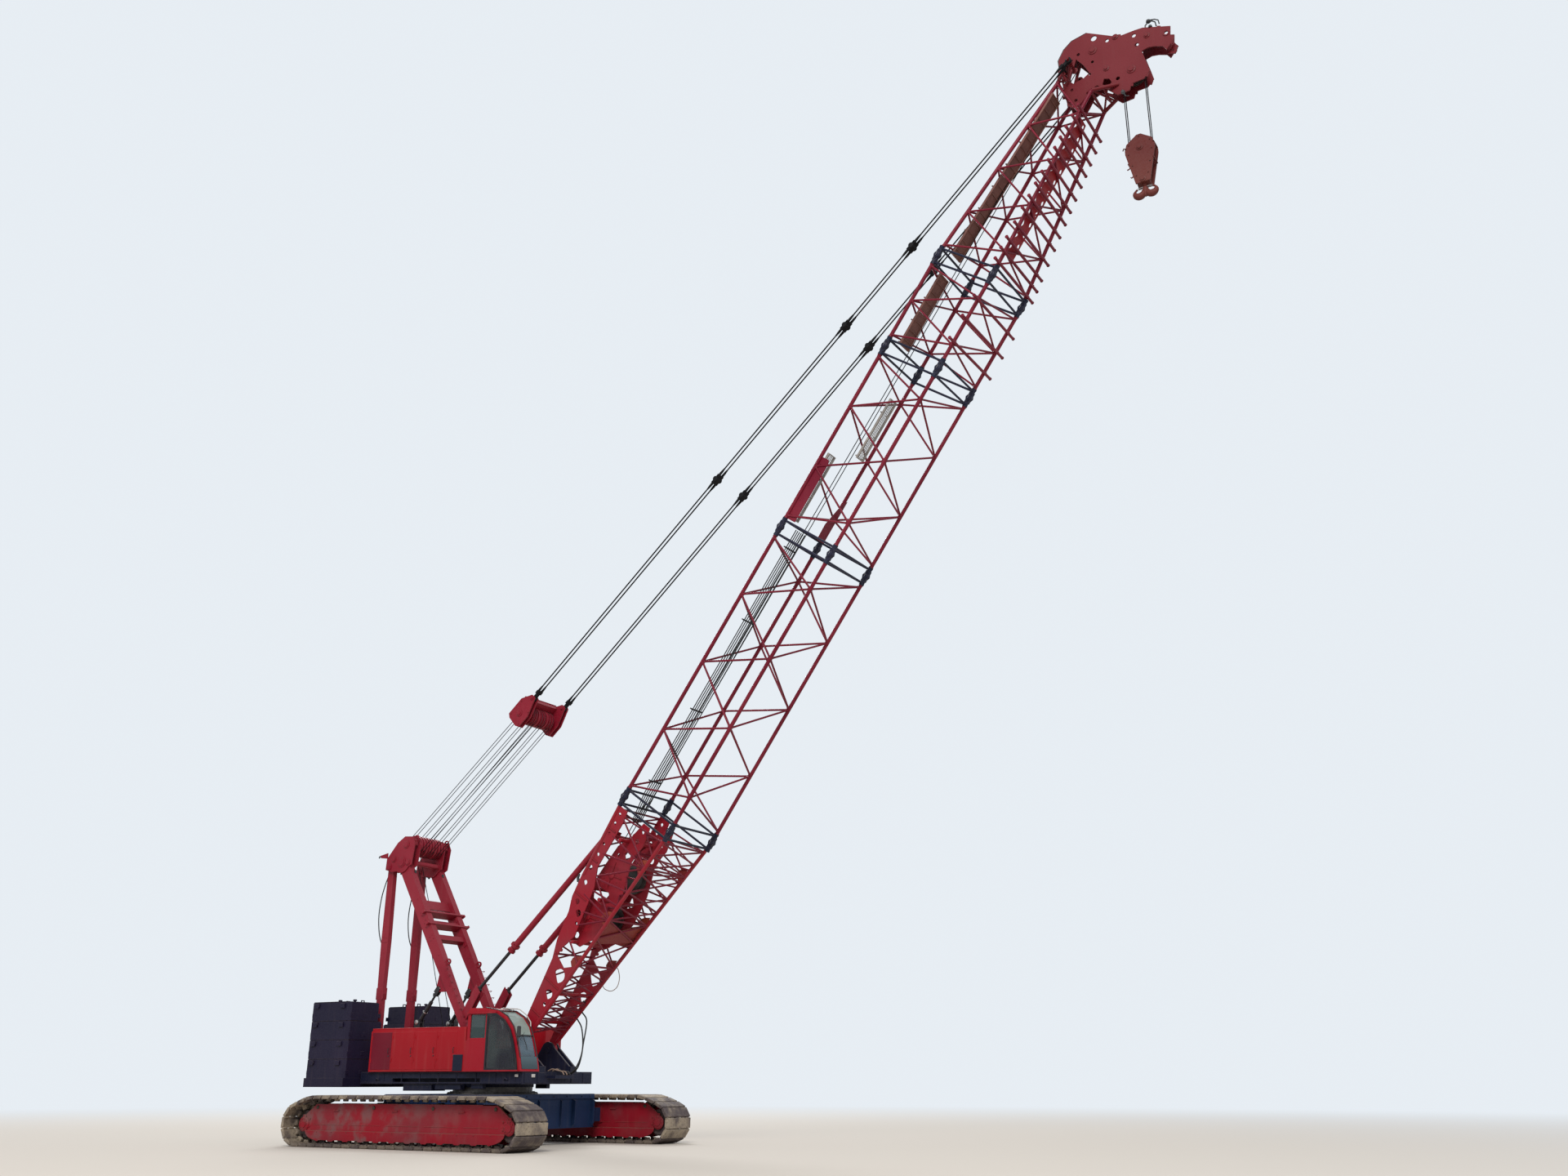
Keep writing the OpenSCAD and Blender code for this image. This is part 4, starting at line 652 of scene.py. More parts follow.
for side, seams in ((-1, (house_rear, -2.65, -1.72, -0.8, 0.0)), (1, (-2.05, -1.2, -0.35, 0.5, 1.1))):
    y = side * 1.66
    for low, high in zip(seams, seams[1:]):
        sheet = bay if low == house_rear else bm
        add_block(sheet, (low + 0.012, y - 0.008, 2.09), (high - 0.012, y + 0.008, 3.16), 0.005)
        for z in (2.3, 2.95):
            add_turned(bm, [(0.016, 0), (0.016, 0.11)], (low + 0.03, y + side * 0.01, z), (0, 0, 1), 10)
        grip = high - 0.1
        add_staple(dark, (grip, y, 2.55), (grip, y, 2.71), (0, side * 0.045, 0), 0.008, (0, 0, 0.02))
        add_cap(dark, (grip, y + side * 0.008, 2.48), (0, side, 0), 0.02, 0.012, 0.012, 0.018, 14)
    add_block(bm, (-3.53, y - 0.012, 2.035), (seams[-1] + 0.04, y + 0.012, 2.075), 0.006)
    add_tube(bm, [(house_rear, side * 1.645, 3.262), (seams[-1] + 0.02, side * 1.645, 3.262)], 0.022, 12)
    for x in (-3.3, -1.6, 0.1):
        add_staple(dark, (x - 0.05, side * 1.3, 3.265), (x + 0.05, side * 1.3, 3.265), (0, 0, 0.045), 0.01)
for k in range(9):
    z = 2.48 + 0.0575 * k
    add_block(bm, (-3.12, 1.655, z - 0.004), (-2.14, 1.672, z + 0.02), 0.003)
# The step well is a flat sheet in the deck's navy: partly the navy paint, and partly painted shade standing
# in for its recess.
well = bmesh.new()
add_block(well, (-0.11, -1.676, 2.045), (0.27, -1.664, 2.50), 0.004)
new_piece("step_well_shade_sheet", well, deck_navy, "upperstructure")
new_piece("house_doors", bm, house_red, "upperstructure")
new_piece("rear_bay_doors", bay, rear_bay_shaded_red, "upperstructure")
new_piece("house_handles", dark, black_fittings, "upperstructure")

# Exhaust and air intake: a bent steel pipe and a round filter bowl on the left house roof.
# Both are painted black and stand on the roof sheet.
bm = bmesh.new()
intake = [(0.09, 0.0), (0.09, 0.03), (0.06, 0.04), (0.06, 0.3), (0.14, 0.33), (0.14, 0.36), (0, 0.36)]
add_turned(bm, intake, (-0.4, 1.25, 3.27), (0, 0, 1))
add_tube(bm, [(-2.9, 1.3, 3.27), (-2.9, 1.3, 3.55), (-2.93, 1.3, 3.63), (-3.02, 1.3, 3.69)], 0.055, 18)
new_piece("exhaust_and_intake", bm, black_fittings, "upperstructure")

# Engine and winch metal: bare and oiled castings, with wound wire rope on the drums.
# Each layer of rope is one ribbed sleeve, turned to the pitch of its coils and set on its drum.
f = Finish("rope_wire")
wire_tone = f.mix(f.waves(42.0, "Y"), (0.018, 0.017, 0.018), (0.08, 0.075, 0.072))
wire_rough = f.ramp(f.noise(30.0), 0.2, 0.8, 0.4, 0.7)
rope_wire = f.finish(wire_tone, wire_rough, f.noise(150.0), 0.002, 0.5, metal=0.5)
coat_node(ring_steel, "engine_block", "luffing_winch", "main_winch", "second_winch", "head_sheaves")
foot_pin, boom_rise = (1.565, 0.0, 2.642), math.radians(54.23)
boom_place = Matrix.Translation(foot_pin) @ Matrix.Rotation(-boom_rise, 4, "Y")
rope_pitch = 0.03


def boom_at(x, y, z):
    """A place on the boom: x along it from the foot, y across it and z behind its middle line."""
    return boom_place @ Matrix.Translation((x, y, z))


for name, centre, radius, reach, place, body in (
    ("luffing_rope_coils", (-1.5, 0.0, 2.55), 0.29, 0.42, None, "upperstructure"),
    ("main_rope_coils", (4.3, 0.0, 0.35), 0.33, 0.48, boom_place, "boom"),
    ("second_rope_coils", (5.7, 0.0, 0.33), 0.31, 0.48, boom_place, "boom"),
):
    bm = bmesh.new()
    profile = [(radius - 0.02, -reach)]
    for k in range(int(2 * reach / rope_pitch)):
        y = -reach + rope_pitch * k
        profile += [(radius, y + 0.004), (radius + 0.014, y + 0.015), (radius, y + 0.026)]
    profile.append((radius - 0.02, reach))
    add_turned(bm, profile, centre, (0, 1, 0), 40, place)
    new_piece(name, bm, rope_wire, body, 60.0)

# Cab: a pressed and welded steel shell in red, with rubber-set glass and a dark grey door frame.
# The panes are tinted and let some light through, with painted shade low down and at the rear and
# a painted sky reflection high up; black rubber and bent wipers lie on the front.
cab_red = enamel(
    "cab_red", (0.34, 0.003, 0.014), (0.40, 0.008, 0.021), (0.13, 0.07, 0.06), dusty=0.2, wear=0.35,
    matt=0.3
)
door_grey = enamel(
    "door_grey", (0.014, 0.014, 0.020), (0.024, 0.023, 0.030), (0.12, 0.10, 0.09), dusty=0.2, wear=0.3,
    matt=0.4
)
coat_node(cab_red, "cab_shell")
coat_node(door_grey, "cab_door")


def glass(name, cover):
    """Glass that lets light through where its cover is below 1, with the smears of its surface."""
    made = Finish(name)
    made.shader.inputs["Alpha"].default_value = cover
    return made, made.ramp(made.noise(3.0), 0.2, 0.8, 0.02, 0.10)


f, smear = glass("cab_glass", 0.6)
# The window colour holds painted light: dark low down and on the rear panes behind x 1.2 as painted shade,
# and lighter upwards and pale above 3.0 m as a painted sky reflection.
glass_height = f.part_of("Object", "Z")
glass_tint_shade_and_sky = f.mix(f.ramp(glass_height, 2.15, 2.75), (0.03, 0.075, 0.095), (0.15, 0.22, 0.28))
glass_tint_shade_and_sky = f.mix(f.ramp(glass_height, 2.97, 3.03), glass_tint_shade_and_sky, (0.40, 0.50, 0.45))
glass_tint_shade_and_sky = f.mix(f.ramp(f.part_of("Object", "X"), 1.2, 1.4), (0.035, 0.065, 0.065), glass_tint_shade_and_sky)
coat_node(f.finish(glass_tint_shade_and_sky, smear), "cab_windows")
f, smear = glass("door_glass", 0.5)
pane_tone = f.mix(f.ramp(f.noise(1.6), 0.3, 0.7), (0.012, 0.011, 0.022), (0.05, 0.065, 0.065))
coat_node(f.finish(pane_tone, smear), "cab_door_pane")
# Lower front pane: a nearly opaque sheet of glass over the lower front window, teal-dark and lighter
# towards its top; its dark tone is painted shade of the cab interior.
bm = bmesh.new()
sill_line = [(x + out, z) for x, z in ((2.508, 2.095), (2.436, 2.43)) for out in (-0.004, 0.012)]
rows = [[bm.verts.new((x, y, z)) for y in (-1.63, -0.95)] for x, z in sill_line]
for a, b in ((0, 1), (1, 3), (3, 2), (2, 0)):
    bm.faces.new((rows[a][0], rows[a][1], rows[b][1], rows[b][0]))
for end in (0, 1):
    bm.faces.new((rows[0][end], rows[1][end], rows[3][end], rows[2][end]))
f, smear = glass("sill_glass", 0.9)
sill_tint_and_shade = f.mix(f.ramp(f.part_of("Object", "Z"), 2.1, 2.45), (0.02, 0.055, 0.07), (0.07, 0.125, 0.15))
sill_glass = f.finish(sill_tint_and_shade, smear)
new_piece("lower_front_pane", bm, sill_glass, "upperstructure")
pillar_line = [(1.03, 3.78), (1.56, 3.69), (1.89, 3.52), (2.13, 3.25), (2.29, 2.88), (2.44, 2.40)]
bm = bmesh.new()
for y in (-1.655, -0.925):
    add_tube(bm, [(x + 0.012, y, z + 0.012) for x, z in pillar_line], 0.016, 8)
add_tube(bm, [(1.56, -1.655, 3.70), (1.56, -0.925, 3.70)], 0.014, 8)
add_tube(bm, [(2.255, -1.655, 3.01), (2.255, -0.925, 3.01)], 0.016, 8)
add_tube(bm, [(2.38, -1.3, 2.62), (2.36, -1.33, 2.75), (2.28, -1.42, 3.03)], 0.009, 8)
add_tube(bm, [(2.33, -1.56, 2.89), (2.24, -1.3, 3.09)], 0.007, 8)
new_piece("window_rubber", bm, black_fittings, "upperstructure")

# Cab guard: a pale steel bar across the cab roof and down beside the front glass, bent in one
# piece. Two short posts weld it to the roof.
rail_pale = plain_finish(
    "rail_pale", (7.0, 5.0), ((0.50, 0.47, 0.44), (0.66, 0.62, 0.58)), (30.0, 0.4, 0.7), (80.0, 0.001, 0.3)
)
bm = bmesh.new()
roof_bar = [(1.56, -1.63, 3.68), (1.58, -1.61, 3.745), (1.62, -1.57, 3.76), (1.66, -1.0, 3.76)]
roof_bar += [(1.72, -0.95, 3.74), (1.95, -0.94, 3.60), (2.14, -0.94, 3.39), (2.15, -0.94, 3.27)]
add_tube(bm, roof_bar, 0.016, 10)
for y in (-1.45, -1.13):
    add_tube(bm, [(1.56, y, 3.69), (1.64, y, 3.76)], 0.010, 8)
new_piece("cab_guard", bm, rail_pale, "upperstructure")

# Deck lamps: two small moulded work lamps at the corner of the deck below the cab.
# Pale grey housings, screwed to the edge of the deck.
bm = bmesh.new()
add_block(bm, (2.23, -1.605, 1.88), (2.35, -1.57, 1.96), 0.01)
add_block(bm, (2.485, -1.19, 1.87), (2.525, -1.05, 1.96), 0.01)
new_piece("deck_lamps", bm, rail_pale, "upperstructure")

# Mirror: a black oval housing on a bent arm from the front pillar.
# The arm is bent from round bar and clamped to the pillar.
bm = bmesh.new()
add_tube(bm, [(2.3, -1.66, 2.75), (2.38, -1.72, 2.8), (2.45, -1.79, 2.86), (2.45, -1.8, 3.02)], 0.012, 8)
add_block(bm, (2.43, -1.87, 2.95), (2.49, -1.71, 3.25), 0.025)
new_piece("cab_mirror", bm, black_fittings, "upperstructure")

# Operator's seat: a sprung seat with pressed cushions in ribbed black cloth, and arm consoles.
# The frame stands on a bellows over the cab floor, and the three pads are crowned and soft.
f = Finish("seat_cloth")
seat_tone = f.mix(f.waves(60.0, "Y"), (0.010, 0.010, 0.012), (0.045, 0.045, 0.052))
seat_rough = f.ramp(f.noise(60.0), 0.2, 0.8, 0.8, 1.0)
seat_cloth = f.finish(seat_tone, seat_rough, f.waves(60.0, "Y"), 0.002, 0.5)


def add_cushion(bm, low, high, crown, place):
    """A crowned pad with pulled-in sides: a rounded grid on both faces."""
    low, high = Vector(low), Vector(high)
    centre, half = (low + high) / 2, (high - low) / 2
    count = 8
    rows = {}
    for layer in (-1, 1):
        for i in range(count + 1):
            for j in range(count + 1):
                u, v = 2 * i / count - 1, 2 * j / count - 1
                pull = 1 - 0.06 * (1 - abs(u) ** 2) * abs(v) ** 3 - 0.02
                swell = (1 - u ** 4) * (1 - v ** 4)
                x = centre.x + half.x * u * (1 - 0.05 * (1 - v * v) * abs(u) ** 3)
                y = centre.y + half.y * v * pull
                z = centre.z + layer * (half.z * (0.45 + 0.55 * swell ** 0.4) + crown * swell * (layer > 0))
                rows[layer, i, j] = bm.verts.new(place @ Vector((x, y, z)))
    for i in range(count):
        for j in range(count):
            for layer in (-1, 1):
                bm.faces.new(
                    [rows[layer, a, b] for a, b in ((i, j), (i + 1, j), (i + 1, j + 1), (i, j + 1))]
                )
    edge = [(i, 0) for i in range(count)] + [(count, j) for j in range(count)]
    edge += [(i, count) for i in range(count, 0, -1)] + [(0, j) for j in range(count, 0, -1)]
    for (a, b), (c, d) in zip(edge, edge[1:] + edge[:1]):
        bm.faces.new([rows[-1, a, b], rows[-1, c, d], rows[1, c, d], rows[1, a, b]])


seat_y = -1.2875
lever_knob = [(0.0, 0), (0.018, 0.004), (0.024, 0.02), (0.018, 0.036), (0, 0.04)]
back_lean = Matrix.Rotation(math.radians(-81), 4, "Y")
bm = bmesh.new()
add_block(bm, (0.98, seat_y - 0.2, 2.085), (1.42, seat_y + 0.2, 2.2), 0.02)
for k in range(4):
    add_block(
        bm, (1.0 - 0.01 * k, seat_y - 0.19, 2.2 + 0.05 * k),
        (1.4 + 0.01 * k, seat_y + 0.19, 2.245 + 0.05 * k), 0.015
    )
add_block(bm, (0.96, seat_y - 0.22, 2.4), (1.46, seat_y + 0.22, 2.45), 0.02)
for side in (-1, 1):
    y = seat_y + side * 0.29
    add_block(bm, (1.12, y - 0.045, 2.085), (1.62, y + 0.045, 2.66), 0.02)
    add_tube(bm, [(x, y, z) for x, z in ((1.55, 2.66), (1.56, 2.76), (1.58, 2.82))], 0.010, 8)
    add_turned(bm, lever_knob, (1.578, y, 2.81), (0.2, 0, 1), 12)
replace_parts(new_piece("seat_frame", bm, black_fittings, "upperstructure"), "operator_seat")
cushion_pads = (
    ("seat_cushion", (0.95, seat_y - 0.235, 2.45), (1.49, seat_y + 0.235, 2.56), 0.015, Matrix()),
    (
        "seat_back", (-0.3, -0.23, -0.06), (0.3, 0.23, 0.05), 0.012,
        Matrix.Translation((0.955, seat_y, 2.88)) @ back_lean
    ),
    (
        "seat_headrest", (-0.07, -0.13, -0.045), (0.07, 0.13, 0.04), 0.008,
        Matrix.Translation((0.90, seat_y, 3.25)) @ back_lean
    ),
)
for name, low, high, crown, place in cushion_pads:
    bm = bmesh.new()
    add_cushion(bm, low, high, crown, place)
    pad = new_piece(name, bm, seat_cloth, "upperstructure", 60.0)
    smoother = pad.modifiers.new("pad_rounding", "SUBSURF")
    smoother.levels = smoother.render_levels = 1

# Gantry: two plate-sided front legs, two rear struts and a plated head that carries the rope
# sheaves. Red enamel, pinned together; step pegs and lifting rings are welded to the legs.
gantry_red = enamel(
    "gantry_red", (0.23, 0.006, 0.020), (0.28, 0.020, 0.036), (0.11, 0.05, 0.045), (0.30, 0.17, 0.15),
    dusty=0.25
)
coat_node(gantry_red, "gantry_front_legs", "gantry_rear_struts", "gantry_head", "gantry_sheaves")
leg_place = Matrix.Translation((-0.19, 0.0, 2.62)) @ Matrix.Rotation(math.radians(-121.72), 4, "Y")
leg_y = 0.68
bm = bmesh.new()
for side in (-1, 1):
    for face in (-1, 1):
        y = side * leg_y + face * 0.11
        add_cap(bm, (0, y, 0), (0, face, 0), 0.075, 0.02, 0.05, 0.035, 24, leg_place)
        for u in (0.3, 0.62, 0.94, 2.2, 3.3, 4.6, 5.4):
            add_bolt(bm, (u, y, -0.06), (0, face, 0), 0.013, leg_place)
        for u, half in ((3.95, 0.1), (4.46, 0.11), (4.87, 0.08)):
            for dz in (-0.09, 0.03):
                for du in (-0.6, 0.6):
                    add_bolt(bm, (u + half * du, y, dz), (0, face, 0), 0.012, leg_place)
    for k in range(9):
        u = 0.85 + 0.235 * k
        depth = -0.115 - 0.07 * max(0.0, u - 1.2) / 2.2
        peg = ((0.77, depth), (0.77, depth - 0.05), (0.86, depth - 0.05), (0.86, depth + 0.02))
        add_tube(bm, [(u, side * y, z) for y, z in peg], 0.009, 8, leg_place)
    inner = leg_place @ Matrix.Translation((0, side * 0.56, 0))
    add_plate(bm, [(3.72, -0.02), (3.72, -0.16), (3.9, -0.16), (4.2, -0.02)], 0.02, inner)
    for u in (4.7, 5.0):
        add_plate(bm, [(u - 0.1, -0.1), (u + 0.1, -0.1), (u + 0.05, -0.17), (u - 0.05, -0.17)], 0.02, inner)
for u in (4.46, 4.875):
    for side in (-1, 1):
        add_block(
            bm, (u - 0.1, side * 0.9 - 0.03, -0.25), (u - 0.02, side * 0.9 + 0.02, -0.12), 0.006, leg_place
        )
for k in range(6):
    add_block(bm, (5.1, -0.55 + 0.2 * k, 0.02), (5.42, -0.535 + 0.2 * k, 0.05), 0.003, leg_place)
new_piece("leg_fittings", bm, gantry_red, "upperstructure")

# Gantry head fittings: pin covers held by bolts, lifting rings, a hose arm and shaft keepers.
# The covers, rings and plates are red steel, and the keepers and arm ends are black.
def add_cover(bm, spot, face, r, rim, shoulder, height, neck=0.6, sides=24, place=None):
    """A pin cover: a round flange with a raised boss; face is the side that it looks to."""
    profile = [(r, 0), (r, rim), (neck * r, shoulder), (neck * r, height), (0, height)]
    add_turned(bm, profile, spot, (0, face, 0), sides, place)


head_pins = (
    (-3.8, 8.46, 0.17), (-4.35, 8.34, 0.11), (-3.65, 9.02, 0.13), (-4.16, 8.58, 0.1), (-3.52, 8.44, 0.1)
)
full_turn = [math.radians(15 * k) for k in range(25)]
bm = bmesh.new()
for side in (-1, 1):
    for face in (-1, 1):
        y = side * leg_y + face * 0.151
        for x, z, r in head_pins:
            add_cover(bm, (x, y, z), face, r, 0.016, 0.024, 0.04, 0.7, 28)
            add_bolt_ring(bm, (x, y + face * 0.016, z), face, 0.85 * r, 6, 0.010, math.radians(20))
    ring = [(-3.36 + 0.085 * math.cos(t), side * leg_y, 9.22 + 0.085 * math.sin(t)) for t in full_turn]
    add_tube(bm, ring, 0.024, 10)
    for y, thick, outline in (
        (leg_y, 0.05, [(-3.56, 8.98), (-3.32, 9.0), (-3.36, 9.16), (-3.46, 9.16)]),
        (0.83, 0.035, [(-4.45, 8.62), (-4.75, 8.66), (-4.78, 8.74), (-4.45, 8.80)]),
    ):
        add_plate(bm, outline, thick, Matrix.Translation((0, side * y, 0)))
new_piece("head_pin_covers", bm, gantry_red, "upperstructure")
bm = bmesh.new()
for side in (-1, 1):
    add_tube(bm, [(x, side * 0.83, z) for x, z in ((-4.74, 8.7), (-4.82, 8.72), (-4.84, 8.66))], 0.022, 10)
    for x in (-3.98, -3.62, -3.36):
        add_block(bm, (x - 0.03, side * 0.62 - 0.03, 8.1), (x + 0.03, side * 0.62 + 0.03, 8.2), 0.008)
new_piece("head_brackets", bm, black_fittings, "upperstructure")

# Rear struts: plate boxes with a bolted splice and a row of small rings along the rear edge.
# Red enamel; splice plates and bolts lie on both faces of each strut.
strut_y = 0.65
bm = bmesh.new()
for side in (-1, 1):
    for face in (-1, 1):
        y = side * strut_y + face * 0.08
        for z in (4.3, 4.46, 5.96, 6.1):
            for dx in (-0.08, 0.0, 0.08):
                add_bolt(bm, (-4.35 + dx, y, z), (0, face, 0), 0.011)
        add_block(bm, (-4.5, y - 0.008, 4.2), (-4.2, y + 0.008, 4.56), 0.004)
    for z in (3.1, 5.2, 6.9, 7.7):
        foot = Vector((-4.49, side * strut_y, z))
        add_staple(
            bm, foot - Vector((0, 0, 0.05)), foot + Vector((0, 0, 0.05)), (-0.04, 0, 0), 0.010, (0, 0, 0.01)
        )
new_piece("strut_splices", bm, gantry_red, "upperstructure")

# Gantry raising cylinders: black tubes with bright eyes and hydraulic ports.
# A cover closes the pin at each foot, and two collars with ports ring each tube.
rod_black = plain_finish(
    "rod_black", (6.0, 4.0), ((0.006, 0.006, 0.008), (0.022, 0.021, 0.024)), (40.0, 0.45, 0.65),
    (90.0, 0.0008, 0.3)
)
coat_node(rod_black, "gantry_cylinders")
bright_steel = plain_finish(
    "bright_steel", (18.0, 5.0), ((0.32, 0.31, 0.30), (0.52, 0.50, 0.48)), (40.0, 0.25, 0.5),
    (120.0, 0.0006, 0.3), 0.8
)
bm = bmesh.new()
cylinder_low = Vector((-2.57, 0.0, 3.48))
cylinder_way = (leg_place @ Vector((2.44, 0.0, 0.41)) - cylinder_low).normalized()
for side in (-1, 1):
    for face in (-1, 1):
        add_cap(
            bm, cylinder_low + Vector((0, side * leg_y + face * 0.11, 0)), (0, face, 0), 0.07, 0.02, 0.045,
            0.035
        )
    for share in (0.35, 1.25):
        spot = cylinder_low + cylinder_way * share + Vector((0.0, side * leg_y, 0.0))
        add_turned(bm, [(0.07, 0), (0.07, 0.03)], spot, cylinder_way, 20)
        add_turned(bm, [(0.022, 0), (0.022, 0.1)], spot, (-cylinder_way.z, 0, cylinder_way.x), 12)
new_piece("cylinder_eyes", bm, bright_steel, "upperstructure")

# Counterweight: cast iron slabs stacked on a tray, in the same dark blue as the deck.
# Every slab has rounded corner pockets with a lifting lug, and a tie rod clamps each stack.
weight_navy = enamel(
    "weight_navy", (0.009, 0.007, 0.026), (0.018, 0.012, 0.036), (0.14, 0.10, 0.09), (0.16, 0.11, 0.10),
    0.35, 0.5, 0.5
)
coat_node(weight_navy, "counterweight_tray", "counterweight_right", "counterweight_left")
bm = bmesh.new()
slab_low, slab_pitch = 1.86, 0.555
nut = [(0.035, 0.0), (0.035, 0.05), (0.06, 0.05), (0.06, 0.09), (0.045, 0.1), (0, 0.1)]
for side in (-1, 1):
    for k in range(4):
        z = slab_low + slab_pitch * k
        for x in (-5.45, -4.3):
            y = side * 2.2
            add_block(bm, (x - 0.09, y - 0.05, z + 0.36), (x + 0.09, y - 0.012, z + 0.5), 0.01)
            add_staple(
                bm, (x - 0.05, y - 0.03, z + 0.38), (x + 0.05, y - 0.03, z + 0.38), (0, 0.028, 0.02), 0.014
            )
        add_block(bm, (-5.6, side * 2.19 - 0.008, z + 0.545), (-4.14, side * 2.19 + 0.008, z + 0.56), 0.003)
        for y in (0.98, 1.53, 2.08):
            for rear, front in ((-5.712, -5.69), (-4.04, -4.012)):
                add_block(bm, (rear, side * y - 0.06, z + 0.1), (front, side * y + 0.06, z + 0.22), 0.005)
    for x in (-5.2, -4.55):
        add_turned(bm, nut, (x, side * 1.53, 4.078), (0, 0, 1), 20)
        add_staple(bm, (x, side * 1.15, 4.07), (x, side * 1.27, 4.07), (0, 0, 0.08), 0.018, sides=10)
new_piece("weight_lugs", bm, weight_navy, "upperstructure")

# Boom base section: tapered plate sides on round chords, in red enamel. Flame-cut openings lighten
# the sides, the winches hang between inner plates, and tubes, ribs and gussets brace it all.
boom_red = enamel(
    "boom_red", (0.145, 0.004, 0.018), (0.19, 0.011, 0.027), (0.09, 0.035, 0.03), (0.22, 0.11, 0.10),
    dusty=0.2
)
base_red = enamel(
    "base_red", (0.30, 0.006, 0.018), (0.25, 0.024, 0.036), (0.09, 0.035, 0.03), (0.26, 0.13, 0.10),
    dusty=0.2
)


def add_cut_plate(bm, outline, openings, thick, place=None, edge=0.004):
    """A plate with openings, both given as loops of (x, z) points, centred on the local Y."""
    sheet = bpy.data.curves.new("cut_sheet", "CURVE")
    sheet.dimensions = "2D"
    sheet.fill_mode = "BOTH"
    sheet.extrude = thick / 2 - edge
    sheet.bevel_depth = edge
    sheet.bevel_resolution = 0
    sheet.offset = -edge
    for loop in [outline] + openings:
        line = sheet.splines.new("POLY")
        line.points.add(len(loop) - 1)
        line.points.foreach_set("co", [number for x, z in loop for number in (x, z, 0.0, 1.0)])
        line.use_cyclic_u = True
    holder = bpy.data.objects.new("cut_sheet", sheet)
    cut = bpy.data.meshes.new_from_object(holder)
    cut.transform((place or Matrix()) @ Matrix.Rotation(math.radians(90), 4, "X"))
    before = len(bm.verts)
    bm.from_mesh(cut)
    bm.verts.ensure_lookup_table()
    bmesh.ops.remove_doubles(bm, verts=bm.verts[before:], dist=0.0002)
    bpy.data.objects.remove(holder)
    bpy.data.curves.remove(sheet)
    bpy.data.meshes.remove(cut)


def round_opening(x, z, r, count=20):
    turns = [2 * math.pi * k / count for k in range(count)]
    return [(x + r * math.cos(a), z + r * math.sin(a)) for a in turns]


def d_opening(x, z, r):
    """A D shaped hole with its flat side turned half way up the boom."""
    loop = [(r * math.cos(math.radians(a)), r * math.sin(math.radians(a))) for a in range(180, 361, 15)]
    loop += [
        (r, 0.55 * r), (0.88 * r, 0.74 * r), (0.6 * r, 0.8 * r), (-0.6 * r, 0.8 * r), (-0.88 * r, 0.74 * r),
        (-r, 0.55 * r)
    ]
    cos, sin = math.cos(math.radians(50)), math.sin(math.radians(50))
    return [(x + a * cos - b * sin, z + a * sin + b * cos) for a, b in loop]


base_top, base_length, base_depth = 7.5997, 7.9, 1.024
foot_y, base_slope, winch_plate_y, stop_y = 0.70, 0.0473, 0.58, 0.64
chord_r = 0.057
foot_boss = [(0.23, 0), (0.23, 0.045), (0.2, 0.075), (0.12, 0.08), (0.12, 0.1), (0, 0.1)]


def base_y(s):
    return foot_y + base_slope * s


def base_front(s):
    return -base_depth * s / base_length


def base_rear(s):
    return base_depth - 0.02 * (base_length - s)


side_outline = [
    (-0.06, 0.15), (0.9, 0.33), (2.74, 0.52), (3.27, 0.70), (4.16, 0.82), (4.56, 0.97), (5.33, 1.04),
    (base_top, 1.065), (base_top, 0.66), (7.28, 0.60), (5.74, 0.65), (5.2, 0.40), (3.7, 0.19), (3.35, 0.32),
    (3.12, 0.42), (2.9, 0.40), (2.76, 0.0), (3.08, -0.40), (2.2, -0.285), (0.3, -0.04), (0.0, -0.15)
]
side_openings = [
    d_opening(2.51, -0.02, 0.19), d_opening(1.87, 0.01, 0.13), round_opening(1.54, -0.02, 0.06, 14),
    d_opening(4.30, 0.47, 0.10), round_opening(4.03, 0.36, 0.05, 12), d_opening(4.55, 0.7, 0.08),
    d_opening(5.15, 0.78, 0.07), d_opening(5.6, 0.88, 0.07)
]
side_openings += [d_opening(s, 0.86, 0.05) for s in (6.05, 6.4, 6.75, 7.1, 7.4)]
winch_outline = [
    (3.45, 0.06), (3.4, 0.56), (4.1, 0.88), (4.3, 1.18), (4.48, 1.18), (4.56, 0.98), (5.3, 0.78),
    (5.9, 0.74), (6.5, 0.68), (6.95, 0.42), (7.5, 0.28), (7.5, 0.0), (6.95, -0.12), (6.69, -0.06),
    (6.34, -0.04), (5.9, -0.2), (5.5, -0.33), (4.62, -0.40), (3.9, -0.25)
]
winch_openings = [
    round_opening(3.66, 0.36, 0.09), d_opening(4.24, 0.66, 0.09), round_opening(3.92, 0.56, 0.05, 14),
    [(4.83, 0.12), (4.83, 0.52), (5.0, 0.62), (5.2, 0.56), (5.24, 0.12), (5.04, -0.1)],
    d_opening(6.45, 0.2, 0.11), d_opening(6.95, 0.16, 0.08), d_opening(7.28, 0.14, 0.05),
    round_opening(6.3, 0.5, 0.05, 14)
]
bm = bmesh.new()
